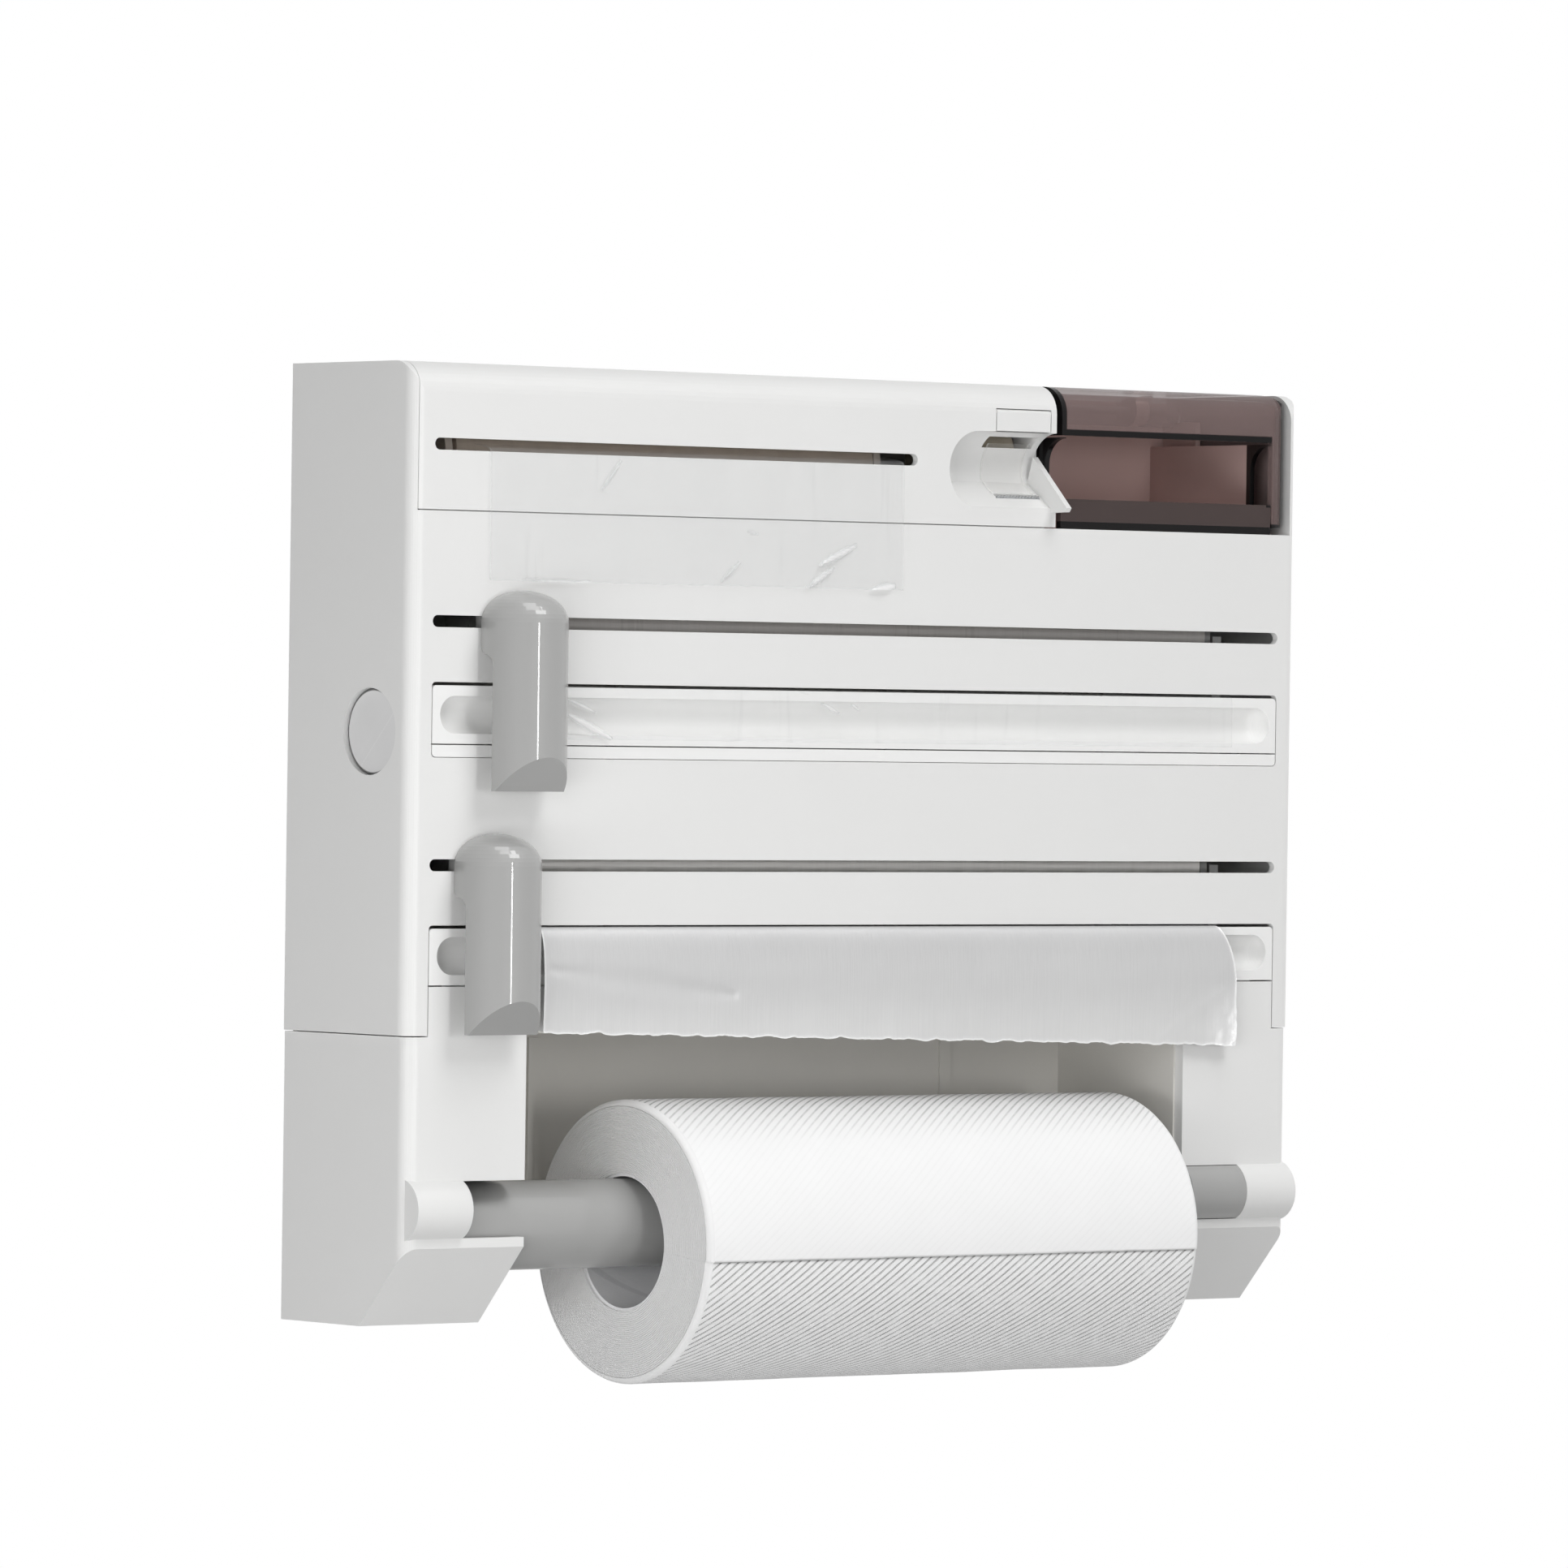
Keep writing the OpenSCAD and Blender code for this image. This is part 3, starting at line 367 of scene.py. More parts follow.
@dataclass(frozen=True)
class SmokedPlastic(Finish):
    """Clear brown-grey plastic that is nearly black where one looks along its wall and inside its dark
    boxes; on the tray one box is painted shade.
    """

    colour: Colour
    edge: Colour
    veil: float
    dark_boxes: tuple[tuple[float | tuple[float, float] | None, ...], ...] = ()

    def write(self, graph: Graph) -> Sock:
        """Writes the smoked plastic's nodes."""
        spot = graph.place()
        facing = graph.add("ShaderNodeLayerWeight", {}, {"Blend": 0.28}, result="Facing")
        mask = facing.between(0.6, 1.0)
        parts = graph.axes(spot)
        soft = 0.25
        for strength, *box in self.dark_boxes:
            inside = strength
            for part, limits in zip(parts, box):
                if limits is not None:
                    low, high = limits
                    share = part.between(low - soft, low + soft)
                    inside = share * part.between(high + soft, high - soft) * inside
            mask = mask.either(inside)
        haze = graph.noise(spot, 0.06, 3.0)
        scuff = graph.noise(graph.place((0.2, 1.0, 2.0)), 0.9, 4.0, 0.7)
        tone = graph.blend(haze, self.colour, times(self.colour, 1.12))
        return graph.surface(
            Base_Color=graph.blend(mask, tone, self.edge),
            Roughness=0.10 + 0.06 * scuff,
            Alpha=self.veil + mask * (0.97 - self.veil),
            Normal=graph.bump(haze, 0.03),
            Specular_IOR_Level=0.18,
        )


@dataclass(frozen=True)
class Steel(Finish):
    """Rolled or turned steel with fine lines along one axis."""

    colour: Colour
    roughness: float = 0.28
    stretch: Colour = (0.05, 1.0, 1.0)

    def write(self, graph: Graph) -> Sock:
        """Writes the steel's nodes."""
        lines = graph.noise(graph.place(self.stretch), 6.0, 3.0, 0.7)
        cloud = graph.noise(graph.place(), 0.08, 3.0)
        share = 0.6 * lines + 0.4 * cloud
        return graph.surface(
            Base_Color=graph.blend(share, times(self.colour, 0.8), self.colour),
            Metallic=1.0,
            Roughness=self.roughness + 0.18 * (lines - 0.5) + 0.1 * (cloud - 0.5),
            Normal=graph.bump(lines, 0.006),
        )


@dataclass(frozen=True)
class Board(Finish):
    """Wound board with long fibres and the faint helix of its plies."""

    colour: Colour
    pale: Colour

    def write(self, graph: Graph) -> Sock:
        """Writes the board's nodes."""
        x, y, z = graph.axes(graph.place())
        fibre = graph.noise(graph.place((0.25, 1.0, 1.0)), 1.4, 5.0, 0.7)
        cloud = graph.noise(graph.place(), 0.12, 3.0)
        ply = ((x + 0.9 * (y + z)) * 0.16).wave().between(0.9, 1.0)
        tone = graph.blend(0.55 * fibre + 0.45 * cloud, self.colour, self.pale)
        return graph.surface(
            Base_Color=graph.blend(ply * 0.4, tone, times(self.colour, 0.72)),
            Roughness=0.88,
            Normal=graph.bump(fibre - 0.5 * ply, 0.09),
            Specular_IOR_Level=0.25,
        )


@dataclass(frozen=True)
class QuiltedPaper(Finish):
    """Soft white tissue with slanting rows of pressed dots and layered ends; the rows' grooves, the
    step under the loose end and the ends' rounded edges carry painted shade.
    """

    colour: Colour
    shade: Colour
    pitch: float = 3.8
    climb: float = 2.95

    def write(self, graph: Graph) -> Sock:
        """Writes the tissue's nodes."""
        spot = graph.place()
        x, _y, _z = graph.axes(spot)
        names = ("around", "press", "layer", "loose_end_shade", "end")
        around, press, layer, loose_end_shade, end = (graph.trait(n) for n in names)
        rows = ((around / self.climb - x / self.pitch) * TURN).wave().between(0.35, 0.95)
        dots = ((around / 0.9 + x / 1.1) * TURN).wave().between(-0.7, 0.5)
        fibre = graph.noise(spot, 2.6, 4.0, 0.7)
        cloud = graph.noise(spot, 0.05, 2.0)
        uneven_press = graph.noise(spot, 0.16, 3.0, 0.7).between(0.25, 0.6)
        # the pressed rows darken the colour: painted shade in their grooves
        lines = rows * press * (0.6 + 0.4 * dots) * (0.55 + 0.45 * uneven_press)
        plies = graph.noise(graph.place((0.2, 1.0, 1.0)), 1.1, 4.0, 0.7)
        rings = (layer * 9.0 + 5.0 * plies).wave() * 0.5 + 0.5
        face = end.between(0.55, 0.95)
        # painted shade on the rounded edge between each end and the outside
        rim = (1.0 - (end * 2.0 - 1.0).size()) * 0.09
        tone = graph.blend(0.5 * cloud + 0.5 * fibre, self.shade, self.colour)
        # painted shade: pressed rows, the loose end's step and the ends' rounded edges, with darker
        # rings between layers on the ends
        shadow = lines * 0.8 + loose_end_shade * 0.6 + rim + face * (1.0 - rings) * 0.08
        relief = fibre * 0.35 + (0.0 - lines) + face * (rings + plies * 2.2)
        return graph.surface(
            Base_Color=graph.blend(shadow, tone, times(self.shade, 0.25)),
            Roughness=0.95,
            Normal=graph.bump(relief, 0.2),
            Specular_IOR_Level=0.12,
            Sheen_Weight=0.15,
            Sheen_Roughness=0.6,
        )


@dataclass(frozen=True)
class Wound(Finish):
    """The outside and ends of a tightly wound web."""

    colour: Colour
    dark: Colour
    metallic: float = 0.0
    roughness: float = 0.25
    coat: float = 0.3

    def write(self, graph: Graph) -> Sock:
        """Writes the wound web's nodes."""
        layer = graph.trait("layer")
        face = layer.between(0.1, 0.2)
        bands = graph.noise(graph.place((0.35, 0.02, 0.02)), 0.5, 4.0, 0.7)
        lines = graph.noise(graph.place((0.02, 1.0, 1.0)), 0.8, 3.0, 0.6)
        rings = (layer * 11.0).wave() * 0.5 + 0.5
        share = (1.0 - face) * (0.6 * bands + 0.4 * lines) + face * rings
        return graph.surface(
            Base_Color=graph.blend(share, self.dark, self.colour),
            Metallic=self.metallic,
            Roughness=self.roughness + 0.25 * (bands - 0.5) + 0.2 * face,
            Normal=graph.bump(0.4 * bands + lines + face * rings, 0.05),
            Coat_Weight=self.coat,
        )


@dataclass(frozen=True)
class ClearFilm(Finish):
    """Thin clear film that shows by its gloss and by painted highlights: its creases, edges and streaks
    are whiter and less clear.
    """

    tint: Colour
    # colour of the painted highlights
    crease: Colour
    veil: float
    gain: float
    roughness: float = 0.16

    def write(self, graph: Graph) -> Sock:
        """Writes the film's nodes."""
        # the crease trait: painted highlights along creases, edges and the crumpled corner
        fold = graph.trait("crease")
        haze = graph.noise(graph.place((1.0, 1.0, 0.5)), 0.06, 3.0, 0.6)
        fine = graph.noise(graph.place((0.3, 1.0, 1.2)), 0.5, 4.0, 0.65)
        # painted highlights: faint streaks across the film
        painted_streak = graph.noise(graph.place((0.8, 1.0, 0.06)), 0.25, 3.0, 0.6).between(0.52, 0.75)
        share = (fold + 0.12 * painted_streak).between(0.0, 1.0)
        return graph.surface(
            Base_Color=graph.blend(share, self.tint, self.crease),
            Roughness=self.roughness + 0.12 * (haze - 0.5),
            Alpha=self.veil * (0.7 + 0.6 * haze) + self.gain * share,
            Normal=graph.bump(haze + 0.25 * fine, 0.5),
            IOR=1.5,
        )


@dataclass(frozen=True)
class BrightFoil(Finish):
    """Thin rolled metal with soft lines along the roll, painted shade that leaves it darker near the
    slit, and painted highlights on its creases, torn edges and crumpled corner.
    """

    colour: Colour
    dark: Colour
    # colour of the painted highlights
    bright: Colour

    def write(self, graph: Graph) -> Sock:
        """Writes the foil's nodes."""
        fold = graph.trait("crease")
        lines = graph.noise(graph.place((1.6, 1.0, 0.03)), 1.0, 3.0, 0.6)
        cloud = graph.noise(graph.place((0.5, 1.0, 1.4)), 0.03, 3.0, 0.55)
        fine = graph.noise(graph.place(), 0.9, 4.0, 0.7)
        _x, _y, z = graph.axes(graph.place())
        # painted shade: the foil is darker near the slit and lighter lower down
        hang = 0.2 * z.between(-48.0, -62.0) + 0.25 * z.between(-66.0, -86.0)
        tone = graph.blend(0.2 * lines + 0.2 * cloud + hang, self.dark, self.colour)
        return graph.surface(
            # painted highlights on creases, torn edges and the crumpled corner
            Base_Color=graph.blend(fold * 0.8, tone, self.bright),
            Metallic=0.4,
            Roughness=0.46 + 0.12 * (cloud - 0.5) - 0.12 * fold,
            Normal=graph.bump(0.25 * lines + 1.2 * cloud + fold * fine, 0.35),
        )


class Ink(Enum):
    """The finishes of this dispenser's pieces."""

    WHITE = MouldedPlastic("white_moulding", linear(231, 231, 230), 0.36, 0.012, 0.012)
    PANEL = MouldedPlastic("white_panel", linear(240, 240, 239), 0.42, 0.014, 0.012)
    # wall plate and bay liner: a grey sheet put where the roll bay lies in shade, painted shade
    SHADE_LINING = MouldedPlastic("painted_shade_lining", linear(222, 220, 215), 0.5, 0.02, 0.03)
    GREY = MouldedPlastic("grey_moulding", linear(160, 160, 159), 0.46, 0.003, 0.015, 0.8, 0.04, 0.03)
    # the button's dark rim colour is painted shade at the gap round the disc
    BUTTON = ButtonFace(
        "button_face", linear(226, 226, 226), linear(96, 96, 96), (BUTTON_Y, BUTTON_Z), 14.1
    )
    PALE_PLUG = MouldedPlastic("pale_plug", linear(244, 232, 220), 0.4)
    SMOKE = SmokedPlastic(
        "smoked_hood", linear(132, 113, 111), linear(8, 6, 7), 0.5,
        (
            (1.0, (84.0, 87.4), None, None),
            (1.0, (84.0, 182.3), (-70.0, -66.6), (121.0, 124.2)),
            (1.0, (187.7, 192.0), (-70.0, -63.0), None),
            (1.0, None, None, (91.0, 93.4)),
        ),
    )
    # the tray's plastic is lighter than the hood's, so that the tray in the hood's shade looks bright:
    # painted light
    SMOKE_TRAY = SmokedPlastic(
        "smoked_tray", linear(204, 176, 171), linear(12, 10, 11), 0.8,
        (
            (1.0, (84.0, 87.3), (-70.0, -50.0), (99.0, 124.0)),
            (1.0, (179.8, 182.2), (-70.0, -58.0), (99.0, 124.0)),
            # painted shade: darkens the tray's whole front lip
            (0.9, None, (-70.0, -66.4), (88.0, 100.6)),
            (1.0, None, (-70.0, -66.4), (88.0, 92.4)),
        ),
    )
    STEEL = Steel("blade_steel", linear(200, 202, 205))
    SPRING = Steel("spring_steel", linear(176, 178, 182), 0.24, (0.6, 1.0, 1.0))
    SCREW = Steel("screw_steel", linear(186, 188, 190), 0.3, (1.0, 0.2, 1.0))
    BOARD = Board("brown_board", linear(148, 116, 84), linear(176, 146, 112))
    GREY_BOARD = Board("grey_board", linear(236, 236, 238), linear(248, 248, 249))
    TISSUE = QuiltedPaper("tissue", linear(250, 250, 250), linear(243, 243, 243))
    FILM_ROLL = Wound("wound_film", linear(242, 238, 234), linear(196, 191, 187), 0.0, 0.3, 0.4)
    FOIL_ROLL = Wound("wound_foil", linear(250, 249, 246), linear(206, 203, 199), 0.6, 0.34, 0.0)
    BAG_ROLL = Wound("wound_bags", linear(246, 230, 214), linear(204, 188, 172), 0.0, 0.4, 0.2)
    TAPE_ROLL = Wound("wound_tape", linear(214, 206, 190), linear(176, 164, 142), 0.0, 0.2, 0.5)
    # the last colour of each of these four finishes is the colour of its painted highlights
    BAG = ClearFilm("bag_film", linear(214, 216, 217), linear(252, 252, 252), 0.06, 0.62)
    FILM = ClearFilm("cling_film", linear(210, 212, 213), linear(252, 252, 252), 0.03, 0.55, 0.1)
    TAPE = ClearFilm("clear_tape", linear(240, 239, 235), linear(250, 250, 248), 0.06, 0.35, 0.12)
    FOIL = BrightFoil("foil", linear(226, 226, 225), linear(186, 186, 187), linear(246, 246, 246))


class Dresser:
    """Builds each finish once and puts it on pieces and nodes."""

    def __init__(self, nodes: dict[str, bpy.types.Object]) -> None:
        """Keeps the frame's nodes."""
        self.nodes = nodes
        self.made: dict[Ink, bpy.types.Material] = {}

    def dress(self, piece: bpy.types.Object, ink: Ink) -> None:
        """Gives one object a finish."""
        if ink not in self.made:
            self.made[ink] = ink.value.build()
        piece.data.materials.clear()
        piece.data.materials.append(self.made[ink])

    def seat(self, piece: bpy.types.Object, ink: Ink, body: str, node: str) -> None:
        """Dresses a piece and puts it in its node's place.

        Args:
            piece: The visual piece.
            ink: Its finish.
            body: The body that carries it.
            node: The CAD node that it stands for.
        """
        self.dress(piece, ink)
        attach(piece, body)
        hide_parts(node)
        LOG.info("seated %s on %s", piece.name, body)

    def dress_nodes(self, ink: Ink, *names: str) -> None:
        """Gives several CAD nodes a finish."""
        for name in names:
            self.dress(self.nodes[name], ink)
            LOG.info("dressed %s in %s", name, ink.value.name)


class Ripples:
    """A seeded sum of plane waves, for what is never quite flat."""

    def __init__(self, seed: int, longest: float, shortest: float, count: int = 14) -> None:
        """Draws the waves.

        Args:
            seed: Seed of the draw.
            longest: Longest wave in millimetres.
            shortest: Shortest wave in millimetres.
            count: Number of waves.
        """
        draw = np.random.default_rng(seed)
        lengths = np.geomspace(longest, shortest, count)
        turn = draw.uniform(0, TURN, count)
        self.kx = TURN / lengths * np.cos(turn)
        self.kz = TURN / lengths * np.sin(turn)
        self.start = draw.uniform(0, TURN, count)
        self.height = (lengths / longest) ** 0.8
        self.height /= self.height.sum()

    def at(self, x: np.ndarray, z: np.ndarray) -> np.ndarray:
        """Height from -1 to 1 at places in millimetres."""
        total = np.zeros(np.broadcast(x, z).shape)
        for kx, kz, start, height in zip(self.kx, self.kz, self.start, self.height):
            total += height * np.sin(kx * x + kz * z + start)
        return total


def make_piece(
    name: str,
    points: np.ndarray,
    faces: list[list[int]],
    traits: dict[str, np.ndarray],
    crisp: float = 40.0,
) -> bpy.types.Object:
    """Makes a mesh object.

    Args:
        name: The piece's name.
        points: Its points in millimetres.
        faces: Its faces.
        traits: Values that it carries at its points.
        crisp: Angle in degrees above which an edge stays sharp.

    Returns:
        The object, linked to the scene.
    """
    mesh = bpy.data.meshes.new(name)
    mesh.from_pydata((points.reshape(-1, 3) * MM).tolist(), [], faces)
    form = bmesh.new()
    form.from_mesh(mesh)
    bmesh.ops.recalc_face_normals(form, faces=form.faces)
    form.to_mesh(mesh)
    form.free()
    for key, values in traits.items():
        layer = mesh.attributes.new(key, "FLOAT", "POINT")
        layer.data.foreach_set("value", values.astype(np.float32).ravel())
    mesh.polygons.foreach_set("use_smooth", [True] * len(mesh.polygons))
    mesh.set_sharp_from_angle(angle=math.radians(crisp))
    piece = bpy.data.objects.new(name, mesh)
    bpy.context.scene.collection.objects.link(piece)
    return piece


def lattice(rows: int, columns: int, round_rows: bool, round_columns: bool) -> np.ndarray:
    """Faces of a grid of points.

    Args:
        rows: Points in the first direction.
        columns: Points in the second direction.
        round_rows: Whether the last row joins the first.
        round_columns: Whether the last column joins the first.

    Returns:
        Four point numbers to a face.
    """
    grid = np.arange(rows * columns).reshape(rows, columns)
    if round_rows:
        grid = np.vstack([grid, grid[:1]])
    if round_columns:
        grid = np.hstack([grid, grid[:, :1]])
    corners = (grid[:-1, :-1], grid[1:, :-1], grid[1:, 1:], grid[:-1, 1:])
    return np.stack(corners, -1).reshape(-1, 4)


def shell_faces(rows: int, columns: int) -> np.ndarray:
    """Faces of a closed shell of two grids, the second after the first.

    Args:
        rows: Points in the first direction.
        columns: Points in the second direction.

    Returns:
        Four point numbers to a face.
    """
    front = lattice(rows, columns, False, False)
    back = front[:, ::-1] + rows * columns
    grid = np.arange(rows * columns).reshape(rows, columns)
    rim = np.concatenate([grid[0, :-1], grid[:-1, -1], grid[-1, :0:-1], grid[:0:-1, 0]])
    ahead = np.roll(rim, -1)
    far = rows * columns
    sides = np.stack([ahead, rim, rim + far, ahead + far], -1)
    return np.concatenate([front, back, sides])


def smooth_line(points: SideLine, count: int) -> np.ndarray:
    """Evenly spaced points on a smooth line through some points.

    Args:
        points: Places that the line passes.
        count: Number of points wanted.

    Returns:
        The points.
    """
    knots = np.array(points, float)
    knots = np.vstack([2 * knots[0] - knots[1], knots, 2 * knots[-1] - knots[-2]])
    dense = []
    for a, b, c, d in zip(knots, knots[1:], knots[2:], knots[3:]):
        t = np.linspace(0, 1, 40, endpoint=False)[:, None]
        square, cube = 2 * a - 5 * b + 4 * c - d, 3 * b - a - 3 * c + d
        dense.append((2 * b + (c - a) * t + square * t**2 + cube * t**3) / 2)
    line = np.vstack([*dense, knots[-2:-1]])
    way = np.concatenate([[0], np.cumsum(np.linalg.norm(np.diff(line, axis=0), axis=1))])
    even = np.linspace(0, way[-1], count)
    return np.stack([np.interp(even, way, line[:, i]) for i in range(2)], -1)


def whole_outline(
    end: list[tuple[float, float, float]], x0: float, x1: float, edge: float, stations: int
) -> np.ndarray:
    """Completes a roll's outline with its outside and its second end.

    Args:
        end: Outline of the first end: place, share of depth, 1 on the end.
        x0: Where the first end lies.
        x1: Where the second end lies.
        edge: Size of the soft edges.
        stations: Number of places on the outside.

    Returns:
        Three rows: places, shares of depth, and 1 on an end.
    """
    outer = [(x, 1.0, 0.0) for x in np.linspace(x0 + edge, x1 - edge, stations)]
    second = [(x0 + x1 - x, f, e) for x, f, e in end[::-1]]
    return np.array(end + outer + second).T


def around_axis(
    along: np.ndarray, reach: np.ndarray, turn: np.ndarray, axis_y: float, axis_z: float
) -> np.ndarray:
    """Points at some places along an axis, distances from it and angles around it."""
    ahead, above = axis_y - reach * np.cos(turn), axis_z + reach * np.sin(turn)
    return np.stack([along + 0 * reach, ahead, above], -1)


@dataclass
class WoundRoll:
    """A web wound on a core, with a spiral step where its outer turn ends."""

    node: str
    body: str
    slot: str
    ink: Ink
    x0: float
    x1: float
    axis_y: float
    axis_z: float
    radius: float
    bore: float
    seed: int
    step: float = 0.12
    loose_end: float = 160.0
    ripple: float = 0.10
    turns: int = 144
    stations: int = 90
    edge: float = 0.5

    def outline(self) -> np.ndarray:
        """The roll's outline from bore to bore: places, shares of depth, 1 on an end."""
        depth = self.radius - self.bore
        left = [(self.x0, f, 1.0) for f in np.linspace(0, 1 - self.edge / depth, 9)]
        short = [1 - np.sin(b) for b in np.linspace(0, np.pi / 2, 4)[1:-1]]
        left += [(self.x0 + self.edge * s, 1 - self.edge / depth * s, 0.5) for s in short]
        return whole_outline(left, self.x0, self.x1, self.edge, self.stations)

    def build(self, dresser: Dresser) -> None:
        """Builds the winding and puts it in its node's place."""
        x, share, face = self.outline()
        start = math.radians(self.loose_end)
        angle = start + np.linspace(0, TURN - 0.004, self.turns)
        outside = self.radius - self.step * (angle - start) / TURN
        waves = Ripples(self.seed, 60, 7)
        wave = self.ripple * (waves.at(x[None, :], (angle * self.radius)[:, None]) - 1.0)
        reach = self.bore + (outside[:, None] - self.bore) * share[None, :]
        reach = reach + wave * (face < 0.5)[None, :]
        rings = Ripples(self.seed + 1, 3, 0.8)
        depth = share[None, :] * (self.radius - self.bore)
        lift = 0.12 * rings.at(depth, 0.3 * angle[:, None]) * (face > 0.9)[None, :]
        inward = np.where(x < (self.x0 + self.x1) / 2, 1.0, -1.0)[None, :]
        along = x[None, :] + inward * (np.abs(lift) + 0.02)
        points = around_axis(along, reach, angle[:, None], self.axis_y, self.axis_z)
        layer = depth * (face > 0.5)[None, :] + 0 * reach
        faces = lattice(len(angle), len(x), True, True).tolist()
        piece = make_piece(self.node + "_web", points, faces, {"layer": layer})
        dresser.seat(piece, self.ink, self.body, self.node)


@dataclass
class KitchenRoll:
    """The paper roll on the rod, with pressed rows and a loose end at its front."""

    x0: float = -91.3
    x1: float = 125.7
    axis_y: float = -53.2
    axis_z: float = -154.86
    radius: float = 48.5
    bore: float = 23.3
    step: float = 0.45
    loose_end: float = -5.5
    edge: float = 2.4
    margin: float = 0.25
    plain: float = 52.0
    fade: float = 30.0
    turns: int = 420
    stations: int = 300

    def outline(self) -> np.ndarray:
        """The roll's outline from bore to bore: places, shares of depth, 1 on an end."""
        depth = self.radius - self.bore
        left = [(self.x0, f, 1.0) for f in np.linspace(0, 1 - self.edge / depth, 34)]
        left += [
            (self.x0 + self.edge * (1 - np.cos(b)), 1 - self.edge / depth * (1 - np.sin(b)), 0.5)
            for b in np.linspace(0, np.pi / 2, 10)[1:-1]
        ]
        return whole_outline(left, self.x0, self.x1, self.edge, self.stations)

    def build(self, dresser: Dresser) -> None:
        """Builds the tissue and puts it in its node's place."""
        x, share, face = self.outline()
        start = math.radians(self.loose_end)
        angle = start + np.linspace(0, TURN - 0.003, self.turns)
        turn = angle[:, None]
        outside = self.radius - self.margin - self.step * (turn - start) / TURN
        soft = Ripples(11, 90, 12)
        wave = 0.22 * soft.at(x[None, :], turn * self.radius)
        rise = np.degrees(turn - start)
        web = (face < 0.5)[None, :]
        press = web * (0.05 + 0.95 * np.clip((rise - self.plain) / self.fade, 0, 1))
        reach = self.bore + (outside - self.bore) * share[None, :]
        reach = reach + wave * (face < 0.9)[None, :]
        plies = Ripples(12, 5, 0.9, 20)
        depth = share[None, :] * (self.radius - self.bore)
        lift = 0.30 * np.abs(plies.at(depth + 0.35 * turn, 0.8 * turn))
        lift = lift + 0.25 * np.abs(soft.at(depth * 6, turn * 30))
        inward = np.where(x < (self.x0 + self.x1) / 2, 1.0, -1.0)[None, :]
        along = x[None, :] + inward * lift * (face > 0.4)[None, :]
        points = around_axis(along, reach, turn, self.axis_y, self.axis_z)
        flat = np.zeros_like(reach)
        traits = {
            "around": flat + turn * self.radius,
            "press": press,
            # the loose end's step line, where the tissue gets painted shade
            "loose_end_shade": web * ((rise < 0.1) | (rise > 359.7)),
            "layer": depth + flat,
            "end": face[None, :] + flat,
        }
        faces = lattice(len(angle), len(x), True, True).tolist()
        piece = make_piece("kitchen_paper", points, faces, traits, 70.0)
        dresser.seat(piece, Ink.TISSUE, "kitchen_roll", "paper_roll")


@dataclass
class Crease:
    """A straight fold in a sheet, with a painted highlight along it."""

    x0: float
    z0: float
    x1: float
    z1: float
    width: float
    lift: float
    # strength of the painted highlight along the fold
    white: float

    def near(self, x: np.ndarray, z: np.ndarray) -> np.ndarray:
        """How close places in millimetres are to the fold, from 0 to 1."""
        run = np.array([self.x1 - self.x0, self.z1 - self.z0])
        share = ((x - self.x0) * run[0] + (z - self.z0) * run[1]) / (run @ run)
        share = np.clip(share, 0, 1)
        gap = np.hypot(x - self.x0 - share * run[0], z - self.z0 - share * run[1])
        taper = 0.35 + 0.65 * np.sin(np.pi * np.clip(share, 0.02, 0.98))
        return np.exp(-((gap / (self.width * taper)) ** 2))


